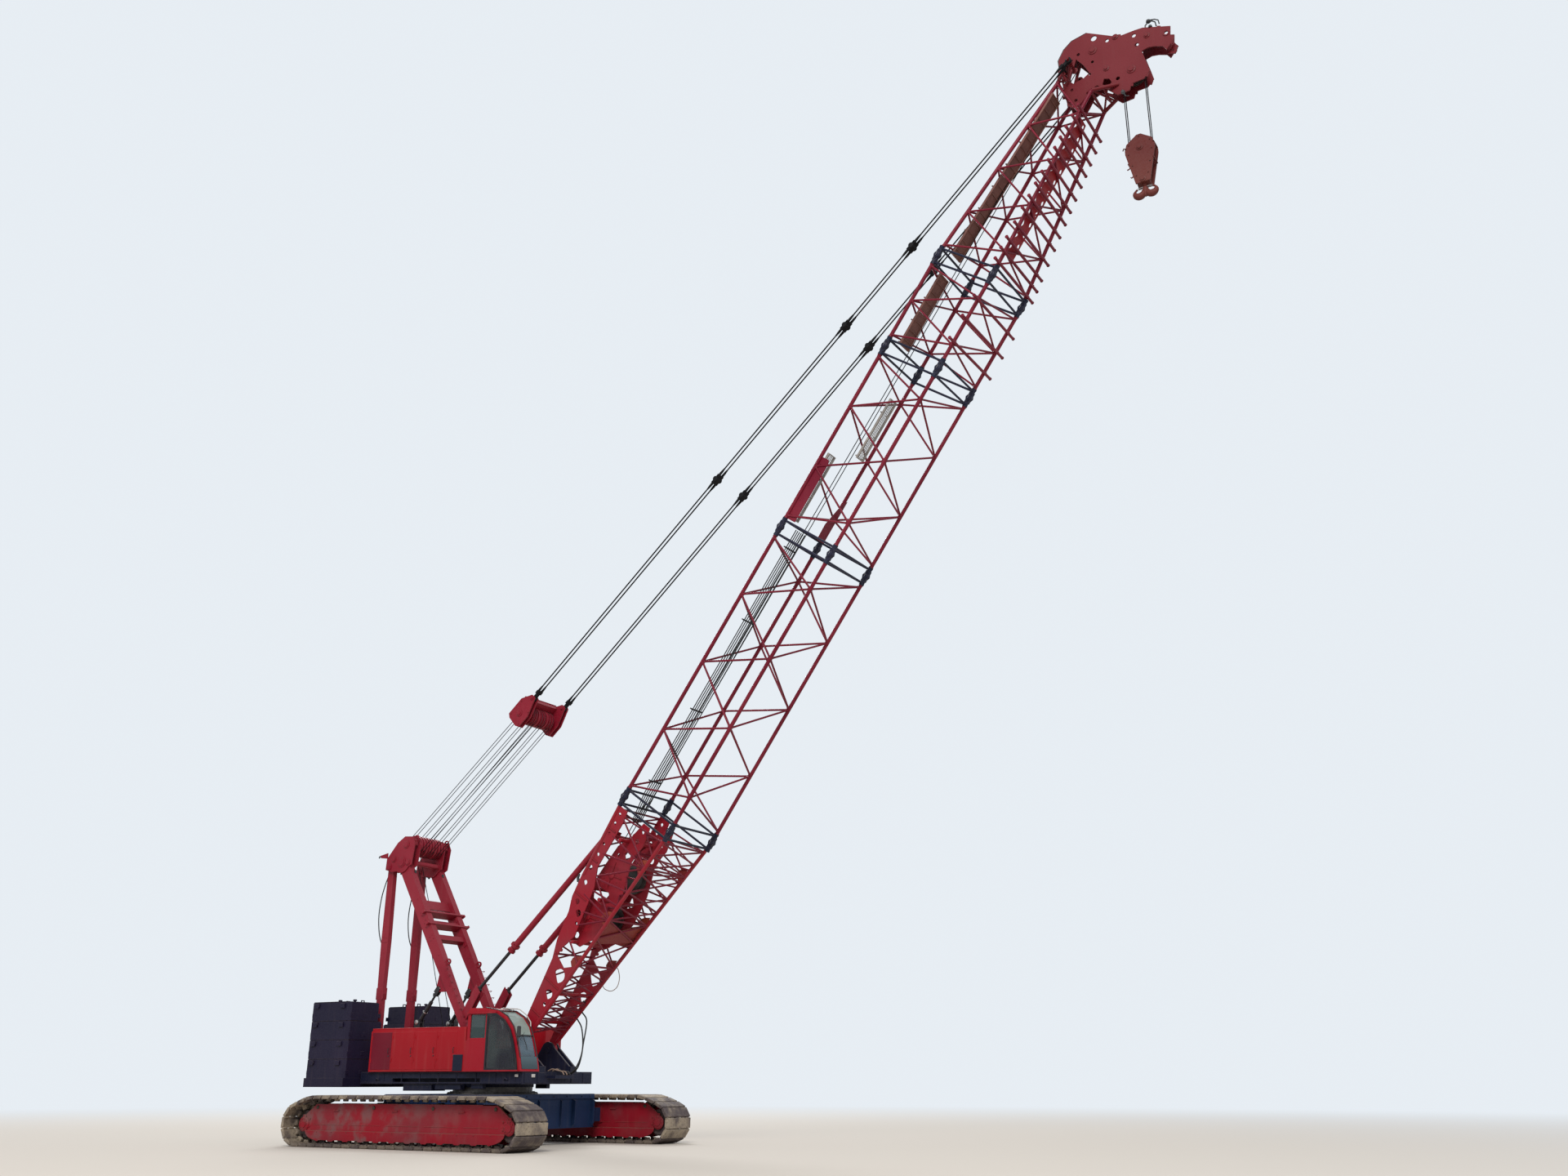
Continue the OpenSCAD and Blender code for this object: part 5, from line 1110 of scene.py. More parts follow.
for side in (-1, 1):
    seat = boom_at(0, side * foot_y, 0) @ Matrix.Rotation(side * math.atan(base_slope), 4, "Z")
    add_cut_plate(bm, side_outline, side_openings, 0.04, seat)
    for face in (-1, 1):
        add_turned(bm, foot_boss, (0, side * foot_y, 0), (0, face, 0), 40, boom_place)
    add_turned(bm, [(0.05, -0.03), (0.05, 0.03)], (3.1, 0, 0.4), (0, 1, 0), 14, seat)
    for start, level in ((0.3, base_front), (5.3, base_rear)):
        add_tube(bm, [(s, side * base_y(s), level(s)) for s in (start, base_top)], chord_r, 14, boom_place)
    add_cut_plate(bm, winch_outline, winch_openings, 0.04, boom_at(0, side * winch_plate_y, 0))
    for s, o, w, d in ((4.3, 0.35, 0.5, 0.11), (5.7, 0.33, 0.45, 0.1)):
        add_cap(bm, (s, side * 0.6, o), (0, side, 0), d, 0.03, 0.7 * d, 0.05, 28, boom_place)
        add_bolt_ring(bm, (s, side * 0.6, o), side, w * 0.62, 12, 0.014, math.radians(15), boom_place)
        for turn in (15, 105, 195, 285):
            rib = boom_at(s, side * 0.625, o) @ Matrix.Rotation(-math.radians(turn), 4, "Y")
            add_block(bm, (0.12, -0.012, -0.008), (w * 0.88, 0.03, 0.008), 0.003, rib)
    for s, low, high in (
        (0.75, -0.08, 0.28), (1.2, -0.13, 0.34), (2.18, -0.24, 0.44), (2.95, 0.44, 0.52),
        (4.75, 0.42, 0.95), (5.85, 0.72, 1.02), (6.9, 0.66, 1.0)
    ):
        add_block(bm, (s - 0.008, side * 0.02, low), (s + 0.008, side * 0.06, high), 0.003, seat)
for s, o in ((0.9, 0.1), (2.0, -0.16), (3.52, 0.18), (5.01, 0.06), (5.01, 0.78), (6.8, 0.42), (6.7, 0.85)):
    add_tube(bm, [(s, -base_y(s), o), (s, base_y(s), o)], 0.055, 14, boom_place)
stop_lug = [
    (6.57, 0.83), (6.85, 0.83), (6.79, 1.12), (6.77, 1.24), (6.71, 1.26), (6.65, 1.24), (6.63, 1.12)
]
for side in (-1, 1):
    # Lugs of the backstop pins
    for y in (side * stop_y - 0.083, side * stop_y + 0.083):
        add_plate(bm, stop_lug, 0.03, boom_at(0, y, 0))
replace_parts(new_piece("base_section", bm, base_red, "boom"), "boom_base")

# Bracing of the base section: thin tubes welded between the chords, gusset plates on the hook side
# at the first winch, and a ladder of cross ties over the foot.
gusset_rust = enamel(
    "gusset_rust", (0.27, 0.05, 0.022), (0.20, 0.022, 0.024), (0.08, 0.035, 0.03), (0.26, 0.13, 0.10),
    dusty=0.2
)
bm = bmesh.new()
plates = bmesh.new()


def base_node(s, side, face):
    """A weld point on a front chord, a rear chord or the rear edge of a side sheet."""
    rear = base_rear(s) if s > 5.2 else 0.22 + 0.105 * s
    return Vector((s, side * base_y(s), base_front(s) if face == "front" else rear))


near, far = -1, 1
front_zigzag = [
    (0.62, near), (0.98, far), (1.34, near), (1.75, far), (2.15, near), (2.62, far), (3.12, near),
    (4.08, far), (4.75, near), (5.24, far), (5.75, near), (6.40, far), (6.6, near), (7.05, far),
    (7.52, near)
]
rear_zigzag = [(0.55, near), (1.0, far), (1.5, near), (2.1, far), (2.7, near), (3.2, far)]
top_zigzag = [(5.45, far), (6.2, near), (6.95, far), (7.5, near)]
for run, face in ((front_zigzag, "front"), (rear_zigzag, "rear"), (top_zigzag, "rear")):
    for (s0, side0), (s1, side1) in zip(run, run[1:]):
        for turn in (1, -1):
            add_tube(
                bm, [base_node(s0, turn * side0, face), base_node(s1, turn * side1, face)], 0.027, 10,
                boom_place
            )
for face, ties in (
    ("front", (0.8, 1.16, 1.54, 3.12, 4.75, 6.6, 7.52)), ("rear", (0.8, 1.75, 2.9, 7.5, 7.3))
):
    for s in ties:
        add_tube(bm, [base_node(s, near, face), base_node(s, far, face)], 0.03, 10, boom_place)
for side in (-1, 1):
    for s0, s1, o1 in (
        (3.12, 3.5, 0.3), (4.75, 4.0, 0.3), (4.75, 4.42, 0.34), (4.75, 4.85, 0.62), (4.75, 5.45, 0.5),
        (6.6, 5.5, 0.55), (6.6, 6.15, 0.72), (6.6, 6.75, 0.72), (6.6, 7.35, 0.68), (7.52, 7.4, 0.66),
        (5.75, 5.45, 0.5), (5.24, 5.1, 0.4)
    ):
        add_tube(
            bm, [base_node(s0, side, "front"), Vector((s1, side * base_y(s1), o1))], 0.027, 10, boom_place
        )
    for s, o in ((4.9, -0.1), (5.4, -0.26), (5.95, -0.15), (6.6, -0.02), (7.3, 0.02), (4.2, -0.3)):
        for ds in (0.25, -0.3):
            add_tube(
                bm, [(s, side * winch_plate_y, o), base_node(s + ds, side, "front")], 0.024, 10, boom_place
            )
    for s in (3.12, 4.75, 6.6):
        node = base_node(s, side, "front")
        slab = boom_place @ Matrix.Translation(node + Vector((0, -side * 0.02, 0.0)))
        add_plate(
            plates, [(-0.26, 0.03), (0.26, 0.03), (0.16, 0.2), (0.05, 0.3), (-0.08, 0.3), (-0.2, 0.16)],
            0.014, slab
        )
    # Closing gusset on the hook side, from one chord to the node of the other
    corners = [base_node(s, turn * side, "front") for s, turn in ((3.85, 1), (4.75, 1), (4.08, -1))]
    lift = Vector((0, 0, 0.045 + 0.02 * side))
    layers = []
    for rise in (0.0, 0.010):
        layers.append([plates.verts.new(boom_place @ (c + lift + Vector((0, 0, rise)))) for c in corners])
    below, above = layers
    plates.faces.new(below)
    plates.faces.new(above)
    for k in range(3):
        plates.faces.new((below[k], below[(k + 1) % 3], above[(k + 1) % 3], above[k]))
for s in (6.55, 7.1):
    add_tube(bm, [(s, -winch_plate_y, 0.3), (s, winch_plate_y, 0.3)], 0.035, 12, boom_place)
new_piece("base_lacing", bm, boom_red, "boom")
new_piece("base_gussets", plates, gusset_rust, "boom")

# Rope bracket and hose clamps on the boom's base, in black steel.
# The bracket plates are welded above the rear chords, and the clamps sit on the front chords.
bm = bmesh.new()
for side in (-1, 1):
    bracket = [(4.98, 1.03), (5.06, 1.03), (5.1, 1.12), (5.2, 1.14), (5.2, 1.19), (5.05, 1.18), (4.97, 1.1)]
    add_plate(bm, bracket, 0.03, boom_at(0, side * 0.9, 0))
    for s in (1.0, 1.8, 2.6):
        y, z = side * (base_y(s) - 0.06), base_front(s)
        add_block(bm, (s - 0.02, y - 0.02, z + 0.05), (s + 0.02, y + 0.02, z + 0.12), 0.004, boom_place)
new_piece("base_brackets", bm, black_fittings, "boom")

# Boom inserts and tapered top section: four round chords laced in zigzag by thinner tubes,
# welded where they meet. All in red enamel.
joint_marks = (7.900, 17.044, 23.140, 26.188, 32.388)
lattice_full, lattice_tip = (1.074, 1.024, -1.024), (0.56, 0.75, -0.43)
tube_gap, lacing_r = 0.3003, 0.030


def section_at(s):
    """Half width, rear offset and front offset of the boom at a distance from its foot."""
    share = min(max((s - joint_marks[3]) / (joint_marks[4] - joint_marks[3]), 0.0), 1.0)
    return [a + (b - a) * share for a, b in zip(lattice_full, lattice_tip)]


def chord_point(corner, s):
    half, rear, front = section_at(s)
    return Vector((s, (-half, half, half, -half)[corner % 4], rear if corner % 4 < 2 else front))


def add_laced(bm, low, high, bays, start, end):
    for corner in range(4):
        add_tube(bm, [chord_point(corner, start), chord_point(corner, end)], chord_r, 16, boom_place)
        sleeve = [(chord_r + 0.010, 0), (chord_r + 0.010, 0.03), (chord_r, 0.045)]
        for s, inward in ((start, 1), (end, -1)):
            add_turned(bm, sleeve, chord_point(corner, s), (inward, 0, 0), 16, boom_place)
    pitch = (high - low) / bays
    for face in range(4):
        for bay in range(bays):
            for half in (0, 1):
                end_s = min(max(low + (bay + half) * pitch, start + 0.07), end - 0.07)
                mid_s = low + (bay + 0.5) * pitch
                first = chord_point(face, end_s if face % 2 == 0 else mid_s)
                last = chord_point(face + 1, mid_s if face % 2 == 0 else end_s)
                add_tube(bm, [first, last], lacing_r, 12, boom_place)
                run = (last - first).normalized()
                for spot, way in ((first, run), (last, -run)):
                    weld = [(lacing_r + 0.012, 0.05), (lacing_r + 0.010, 0.085), (lacing_r, 0.10)]
                    add_turned(bm, weld, spot, way, 12, boom_place)


for name, k, bays in (
    ("boom_insert_a", 0, 4), ("boom_insert_b", 1, 3), ("boom_insert_c", 2, 2), ("boom_top", 3, 4)
):
    bm = bmesh.new()
    start = joint_marks[k] + tube_gap
    end = joint_marks[k + 1] - (0.0005 if name == "boom_top" else tube_gap)
    add_laced(bm, joint_marks[k], joint_marks[k + 1], bays, start, end)
    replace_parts(new_piece(name.replace("boom", "laced"), bm, boom_red, "boom"), name)

# Guard bars: round steel pipes across the hook side, which keep the block off the lacing.
# Each is capped at both ends and saddled to the front chords by two short plates.
bm = bmesh.new()
insert_length, top_length = (joint_marks[k + 1] - joint_marks[k] for k in (2, 3))
insert_shares = (0.276, 0.512, 0.725)
top_shares = (
    0.06, 0.1165, 0.173, 0.252, 0.329, 0.394, 0.46, 0.523, 0.586, 0.652, 0.708, 0.766, 0.828, 0.886
)
guard_marks = [joint_marks[2] + insert_length * share for share in insert_shares]
guard_marks += [joint_marks[3] + top_length * share for share in top_shares]
for s in guard_marks:
    half, _, front = section_at(s)
    reach = half + 0.35
    add_tube(bm, [(s, -reach, front - 0.06), (s, reach, front - 0.06)], 0.043, 14, boom_place)
    for side in (-1, 1):
        tip = (s, side * (reach - 0.002), front - 0.06)
        add_cap(bm, tip, (0, side, 0), 0.052, 0.02, 0.04, 0.03, 14, boom_place)
        saddle = Vector((s - 0.05, side * half - 0.006, front - 0.1))
        add_block(bm, saddle, saddle + Vector((0.1, 0.012, 0.09)), 0.003, boom_place)
new_piece("guard_bars", bm, boom_red, "boom")

# Belly sheet: a pressed steel sheet on the right half of the hook side, under the guard bars.
# Diamond openings run along both of its long edges, and its middle is left whole.
bm = bmesh.new()
front_slope = math.atan2(lattice_tip[2] - lattice_full[2], joint_marks[4] - joint_marks[3])
sheet_low, sheet_high = 26.95, 31.6
stretch = math.cos(front_slope)
sheet_edge = ((26.95, -0.36), (27.9, -0.26), (29.3, -0.10), (30.5, 0.08), (31.0, 0.10), (31.6, 0.04))


def sheet_right(s):
    """Offset of the free edge of the sheet at a distance along the boom."""
    for (s0, y0), (s1, y1) in zip(sheet_edge, sheet_edge[1:]):
        if s <= s1:
            return y0 + (y1 - y0) * (s - s0) / (s1 - s0)
    return sheet_edge[-1][1]


outline = [((s - sheet_low) / stretch, y) for s, y in sheet_edge]
outline += [
    ((s - sheet_low) / stretch, -section_at(s)[0] + 0.03) for s in (sheet_high, 30.0, 28.5, sheet_low)
]
openings = []
for k in range(12):
    s = sheet_low + 0.3 + 0.37 * k
    for y, long, wide in (
        (-section_at(s)[0] + 0.17, 0.105, 0.065), (sheet_right(s + 0.15) - 0.12, 0.085, 0.05)
    ):
        x = (s + (0.15 if long < 0.1 else 0.0) - sheet_low) / stretch
        diamond = ((-1, -0.01), (-0.3, wide), (0.3, wide), (1, 0.01), (0.3, -wide), (-0.3, -wide))
        openings.append([(x + u * long, y + v) for u, v in diamond])
lay_flat = Matrix.Rotation(-front_slope, 4, "Y") @ Matrix.Rotation(math.radians(-90), 4, "X")
sheet_place = boom_at(sheet_low, 0, section_at(sheet_low)[2] + 0.045) @ lay_flat
add_cut_plate(bm, outline, openings, 0.014, sheet_place, 0.002)
belly_red = enamel(
    "belly_red", (0.27, 0.008, 0.016), (0.32, 0.02, 0.026), (0.09, 0.035, 0.03), (0.26, 0.13, 0.10),
    dusty=0.2
)
new_piece("belly_sheet", bm, belly_red, "boom")

# Boom walkway: a strip of expanded metal in a folded frame, brown with rust and old paint.
# It is hung under the rear lacing by straps. The two lowest strips are open grating in zinc.
f = Finish("rusted_paint")
rust_tone = f.mix(f.ramp(f.noise(2.0, 5.0), 0.3, 0.7), (0.165, 0.070, 0.058), (0.205, 0.090, 0.072))
rust_rough = f.ramp(f.noise(20.0), 0.2, 0.8, 0.6, 0.95)
rusted_paint = f.finish(rust_tone, rust_rough, f.noise(30.0, 3.0), 0.0005, 0.3)
f = Finish("grating_zinc")
grate_tone = f.mix(f.ramp(f.noise(5.0, 6.0), 0.3, 0.7), (0.30, 0.28, 0.26), (0.42, 0.38, 0.34))
grate_rough = f.ramp(f.noise(20.0), 0.2, 0.8, 0.5, 0.8)
grating_zinc = f.finish(grate_tone, grate_rough, f.noise(70.0), 0.001, 0.3, metal=0.5)
walk_runs = (
    (23.45, 25.85, -0.62, -0.10, rusted_paint), (26.5, 32.0, -0.62, -0.10, rusted_paint),
    (20.0, 22.05, 0.36, 0.72, grating_zinc), (17.4, 19.62, -0.94, -0.58, grating_zinc),
)
for k, (low, high, inner, outer, material) in enumerate(walk_runs):
    bm = bmesh.new()
    ends = [Vector((s, 0.0, section_at(s)[1] - 0.085)) for s in (low, high)]
    slope = math.atan2(ends[1].z - ends[0].z, high - low)
    strip = boom_place @ Matrix.Translation(ends[0]) @ Matrix.Rotation(-slope, 4, "Y")
    length = (ends[1] - ends[0]).length
    for y in (inner, outer):
        add_block(bm, (0.0, y - 0.015, -0.035), (length, y + 0.015, 0.035), 0.005, strip)
    for x in (0.0, length - 0.03):
        add_block(bm, (x, inner, -0.03), (x + 0.03, outer, 0.03), 0.005, strip)
    if material is rusted_paint:
        add_block(bm, (0.02, inner + 0.01, 0.006), (length - 0.02, outer - 0.01, 0.014), 0.003, strip)
        for rib in range(int(length / 0.32)):
            add_block(
                bm, (0.2 + 0.32 * rib, inner, -0.024), (0.226 + 0.32 * rib, outer, 0.008), 0.003, strip
            )
    else:
        for rib in range(int(length / 0.07)):
            add_block(
                bm, (0.05 + 0.07 * rib, inner, -0.014), (0.056 + 0.07 * rib, outer, 0.014), 0.0015, strip
            )
        for bar in range(4):
            y = inner + (outer - inner) * (bar + 1) / 5
            add_block(bm, (0.0, y - 0.003, -0.014), (length, y + 0.003, 0.014), 0.0015, strip)
    for strap in range(int(length / 0.75) + 1):
        x = min(0.06 + 0.75 * strap, length - 0.06)
        for y in (inner, outer):
            add_block(bm, (x - 0.02, y - 0.02, 0.03), (x + 0.02, y + 0.02, 0.082), 0.004, strip)
    new_piece("walkway_%d" % (k + 1), bm, material, "boom")

# Section connectors: forged eyes and pins between the boom sections, dark blue, with square
# spring clips through the pin ends. The same steel frames each joint.
coat_node(deck_navy, "section_connectors")
bm = bmesh.new()
pins = bmesh.new()
for s in joint_marks[:4]:
    for corner in range(4):
        spot = chord_point(corner, s)
        for face in (-1, 1):
            rim = spot + Vector((0, face * 0.063, 0))
            add_cap(bm, rim, (0, face, 0), 0.085, 0.015, 0.05, 0.03, 20, boom_place)
            clip = [
                spot + Vector((ds, face * 0.1, dz)) for ds, dz in ((-0.035, 0), (0.05, 0), (0.05, 0.05))
            ]
            add_tube(pins, clip, 0.007, 6, boom_place)
        for end in (-1, 1):
            collar = [(0.078, 0), (0.078, 0.05), (0.068, 0.08), (0.068, 0.12)]
            add_turned(bm, collar, spot + Vector((end * 0.3, 0, 0)), (-end, 0, 0), 16, boom_place)
            for face in (-1, 1):
                add_bolt(bm, spot + Vector((end * 0.12, face * 0.05, 0.0)), (0, face, 0), 0.016, boom_place)
new_piece("connector_pins", bm, deck_navy, "boom")
new_piece("connector_clips", pins, bright_steel, "boom")

# Side plates: two short red plates bolted to the rear chords above the second joint. The near
# one hangs on edge beside the grating, the far one lies flat under the lacing and runs to a point.
bm = bmesh.new()
add_plate(
    bm, [(17.35, 0.99), (17.35, 0.66), (19.3, 0.66), (19.42, 0.72), (19.42, 0.99)], 0.02,
    boom_at(0, -1.06, 0)
)
flat_place = boom_at(0, 0, 0.885) @ Matrix.Rotation(math.radians(90), 4, "X")
add_plate(
    bm, [(17.28, -1.02), (17.28, -0.62), (17.8, -0.60), (18.62, -0.86), (18.74, -1.02)], 0.02, flat_place
)
for s in (17.5, 18.0, 18.5, 19.2):
    add_bolt(bm, (s, -1.07, 0.9), (0, -1, 0), 0.014, boom_place)
for s in (17.5, 18.0, 18.5):
    add_block(bm, (s - 0.03, 0.94, 0.885), (s + 0.03, 1.0, 1.0), 0.006, boom_place)
    add_bolt(bm, (s, 0.97, 0.875), (0, 0, -1), 0.014, boom_place)
new_piece("side_plates", bm, boom_red, "boom")

# Cable run: six cables side by side under the rear lacing, from the winches to the grating.
# Flat clips hold them down to the lacing tubes.
bm = bmesh.new()
for k in range(6):
    y = -0.46 + 0.1 * k
    add_tube(bm, [(7.3, 0.8 * y, 0.86), (8.2, y, 0.92), (17.2, y, 0.925)], 0.016, 8, boom_place)
for s in (8.6, 11.06, 14.12, 16.6):
    add_block(bm, (s - 0.025, -0.50, 0.935), (s + 0.025, 0.08, 0.945), 0.003, boom_place)
    for y in (-0.49, -0.21, 0.07):
        add_block(bm, (s - 0.02, y - 0.012, 0.94), (s + 0.02, y + 0.012, 1.0), 0.003, boom_place)
new_piece("cable_run", bm, black_fittings, "boom")

# Boom head: two thick cheeks with the nose, cut from plate and set close together on cross tubes.
# The chords run up into them, a shaft carries the pendants, and rings stiffen the bores.
head_red = enamel(
    "head_red", (0.125, 0.006, 0.011), (0.15, 0.013, 0.019), (0.08, 0.04, 0.035), (0.20, 0.10, 0.08),
    dusty=0.25, wear=0.7
)
cheek_y, cheek_half = 0.20, 0.02
head_outline = [
    (31.89, -0.04), (31.93, 0.28), (32.28, 0.62), (32.70, 1.0), (33.19, 1.40), (33.56, 1.43), (33.88, 1.34),
    (34.23, 1.01), (34.32, -0.04), (34.61, -0.43), (34.74, -0.63), (34.96, -1.44), (34.72, -1.58),
    (34.65, -1.76), (34.25, -1.74), (34.32, -1.57), (34.27, -1.32), (34.19, -1.14), (34.05, -1.02),
    (33.75, -1.36), (33.53, -1.60), (33.26, -1.56), (33.04, -1.28), (32.83, -1.34), (32.61, -1.07),
    (32.70, -0.62), (32.74, -0.26), (32.55, -0.15), (32.22, -0.17), (31.92, -0.16)
]
head_bores = (
    (34.11, 0.69, 0.09), (34.13, 0.23, 0.055), (34.45, -0.51, 0.06), (34.20, -0.76, 0.06),
    (33.52, 0.88, 0.05), (33.4, 0.30, 0.045), (33.09, -0.78, 0.06), (32.42, 0.43, 0.05),
    (32.15, 0.12, 0.05), (34.73, -1.44, 0.0575), (32.60, 0.79, 0.045), (33.02, 0.16, 0.04)
)
head_openings = [round_opening(s, o, r) for s, o, r in head_bores]
head_openings += [
    [(33.34, 0.96), (33.02, 1.10), (32.84, 1.03), (32.70, 0.74)],
    [(32.66, 0.66), (32.62, 0.50), (32.86, 0.28), (33.06, 0.20), (33.24, 0.52), (33.36, 0.86)]
]
head_openings += [[(32.80, -0.42), (32.98, -0.36), (33.02, -0.52), (32.94, -0.66), (32.80, -0.62)]]
rear_join, front_join, top_end = (33.12, 1.18), (32.92, -0.90), joint_marks[4]
half, rear, front = section_at(top_end)
pendant_s, pendant_o, back = 33.0, 0.69, Vector((0.1, 0, 0))
bm = bmesh.new()
rim_dark = bmesh.new()
for side in (-1, 1):
    y = side * (cheek_y + cheek_half)
    add_cut_plate(bm, head_outline, head_openings, 2 * cheek_half, boom_at(0, side * cheek_y, 0), 0.003)
    for s, o, r in (
        (33.446, -1.027, 0.13), (33.738, 0.5, 0.13), (33.0, 0.69, 0.10), (34.288, 0.04, 0.09),
        (34.538, -0.9, 0.09), (33.3, -0.25, 0.09)
    ):
        add_cover(bm, (s, y, o), side, r, 0.018, 0.026, 0.05, 0.6, 28, boom_place)
        add_bolt_ring(bm, (s, y + side * 0.018, o), side, 0.82 * r, 6, 0.009, math.radians(10), boom_place)
    turns = [2 * math.pi * k / 28 for k in range(28)]
    loops = []
    for r, h in ((0.0575, 0.0), (0.1, 0.0), (0.1, 0.018), (0.0575, 0.018)):
        ring = [(34.73 + r * math.cos(a), y + side * h, -1.44 + r * math.sin(a)) for a in turns]
        loops.append([bm.verts.new(boom_place @ Vector(spot)) for spot in ring])
    for k in range(4):
        first, second = loops[k], loops[(k + 1) % 4]
        for j in range(28):
            bm.faces.new((first[j], first[(j + 1) % 28], second[(j + 1) % 28], second[j]))
    for s, o, turn in (
        (32.15, 0.56, 40), (32.9, 1.2, 48), (34.36, -0.04, -70), (34.86, -1.1, -76), (33.4, -1.58, 10),
        (34.5, -1.74, 5), (33.02, -1.30, 30)
    ):
        lug = boom_at(s, side * cheek_y, o) @ Matrix.Rotation(math.radians(-turn), 4, "Y")
        add_plate(bm, [(-0.07, -0.04), (0.07, -0.04), (0.05, 0.04), (-0.05, 0.04)], 0.03, lug)
    # Chord ends, drawn together on to the cheeks, and the pendant shaft with its stays
    rear_low, rear_high = Vector((top_end, side * half, rear)), Vector((rear_join[0], y, rear_join[1]))
    front_low, front_high = Vector((top_end, side * half, front)), Vector((front_join[0], y, front_join[1]))
    for low, high in ((rear_low, rear_high), (front_low, front_high)):
        add_tube(bm, [low, high], chord_r, 16, boom_place)
    for s, o, far_end in (
        (32.1, 0.42, rear_low), (32.0, 0.1, rear_low - back), (32.45, -0.1, front_low),
        (31.98, -0.1, front_low - back), (32.66, -0.45, front_low.lerp(front_high, 0.45)),
        (32.66, 0.86, rear_low.lerp(rear_high, 0.6)),
    ):
        add_tube(bm, [(s, y, o), far_end], lacing_r, 12, boom_place)
    add_tube(bm, [(pendant_s, y, pendant_o), (pendant_s, side * 0.875, pendant_o)], 0.045, 20, boom_place)
    add_tube(bm, [(32.52, y, 0.66), (pendant_s, side * 0.60, pendant_o)], 0.028, 10, boom_place)
    add_turned(
        bm, [(0.085, 0), (0.085, 0.03)], (pendant_s, side * 0.6 - 0.015, pendant_o), (0, 1, 0), 20,
        boom_place
    )
    crown = [(32.70, 1.0), (33.19, 1.4), (33.56, 1.43), (33.88, 1.34), (34.23, 1.01)]
    add_tube(rim_dark, [(s, side * cheek_y, o + 0.014) for s, o in crown], 0.02, 8, boom_place)
for s, o, reach, r in (
    (33.446, -1.027, cheek_y, 0.06), (33.738, 0.5, cheek_y, 0.06), (34.288, 0.04, cheek_y, 0.05),
    (34.538, -0.9, cheek_y, 0.05), (33.3, -0.25, cheek_y, 0.05), (32.0, 0.06, cheek_y, 0.045),
    (32.85, 0.98, cheek_y, 0.04), (33.05, -0.55, cheek_y, 0.04), (top_end - 0.03, rear, half, 0.04),
    (top_end - 0.03, front, half, 0.04)
):
    add_tube(bm, [(s, -reach, o), (s, reach, o)], r, 20, boom_place)
for low, high in (
    ((top_end, -half, front), (32.70, 0.36, -0.705)), ((top_end, half, front), (32.70, -0.36, -0.705)),
    ((32.62, -0.40, -0.62), (32.62, 0.40, -0.62)), ((top_end, -half, rear), (32.9, 0.22, 1.04)),
    ((top_end, half, rear), (32.9, -0.22, 1.04))
):
    add_tube(bm, [low, high], lacing_r, 12, boom_place)
for s, o in ((33.05, 1.27), (33.4, 1.40), (33.75, 1.37), (34.1, 1.12)):
    add_block(rim_dark, (s - 0.09, -0.19, o - 0.02), (s + 0.09, 0.19, o + 0.010), 0.006, boom_place)
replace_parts(new_piece("head_cheeks", bm, head_red, "boom"), "boom_head")
new_piece("head_crown", rim_dark, black_fittings, "boom")

# Nose fittings: a wind gauge and a domed lamp in a bent guard on top of the nose, a drilled bracket
# under it, and the limit switch of the hoist below the head.
bm = bmesh.new()
up = (boom_place.to_3x3().inverted() @ Vector((0.0, 0.0, 1.0))).normalized()
ahead = (boom_place.to_3x3().inverted() @ Vector((1.0, 0.0, 0.0))).normalized()
base = Vector((34.80, -cheek_y, -0.86))
arch = ((-0.15, 0.0), (-0.14, 0.13), (-0.06, 0.20), (0.06, 0.21), (0.15, 0.13), (0.17, -0.02))
add_tube(bm, [base + ahead * x + up * z for x, z in arch], 0.02, 10, boom_place)
add_turned(
    bm, [(0.04, 0), (0.07, 0.02), (0.06, 0.08), (0, 0.11)], base + up * 0.19 - ahead * 0.04, up, 16,
    boom_place
)
wind_arm = ((-0.02, 0.27), (0.14, 0.23), (0.24, 0.16), (0.26, 0.02))
add_tube(bm, [base + ahead * x + up * z for x, z in wind_arm], 0.018, 8, boom_place)
add_turned(bm, [(0.06, 0), (0.06, 0.03), (0.045, 0.07), (0, 0.08)], base, up, 20, boom_place)
add_block(bm, (32.66, -0.31, -1.25), (32.75, -0.22, -1.16), 0.008, boom_place)
add_tube(bm, [(32.7, -0.28, -1.24), (32.60, -0.28, -1.36), (32.63, -0.28, -1.46)], 0.014, 8, boom_place)
new_piece("nose_fittings", bm, black_fittings, "boom")
bm = bmesh.new()
add_cut_plate(
    bm, [(34.25, -1.70), (34.62, -1.72), (34.40, -1.93), (34.30, -1.93)],
    [round_opening(34.38, -1.81, 0.035, 12)], 0.03, boom_place
)
new_piece("nose_bracket", bm, head_red, "boom")

# Pendants: paired wire strands from the bridle to the boom head, black, with forged end blocks.
# Link plates and cross pins join the lengths, above the boom joints.
strand_black = plain_finish(
    "strand_black", (5.0, 4.0), ((0.004, 0.004, 0.005), (0.014, 0.013, 0.015)), (30.0, 0.7, 0.9),
    (90.0, 0.001, 0.3), shine=0.2
)
coat_node(strand_black, "pendants", "hoist_falls")
pendant_y, bridle_s, bridle_o = 0.74, 8.46, 6.385
pendant_run = Vector((pendant_s - bridle_s, 0.0, pendant_o - bridle_o))
pendant_slope = math.atan2(pendant_run.z, pendant_run.x)
pendant_place = boom_at(bridle_s, 0.0, bridle_o) @ Matrix.Rotation(-pendant_slope, 4, "Y")
bm = bmesh.new()
link_socket = [(0.042, 0.15), (0.036, 0.3), (0.024, 0.42), (0.022, 0.42)]
end_socket = [(0.042, 0.0), (0.036, 0.16), (0.024, 0.3), (0.022, 0.3)]
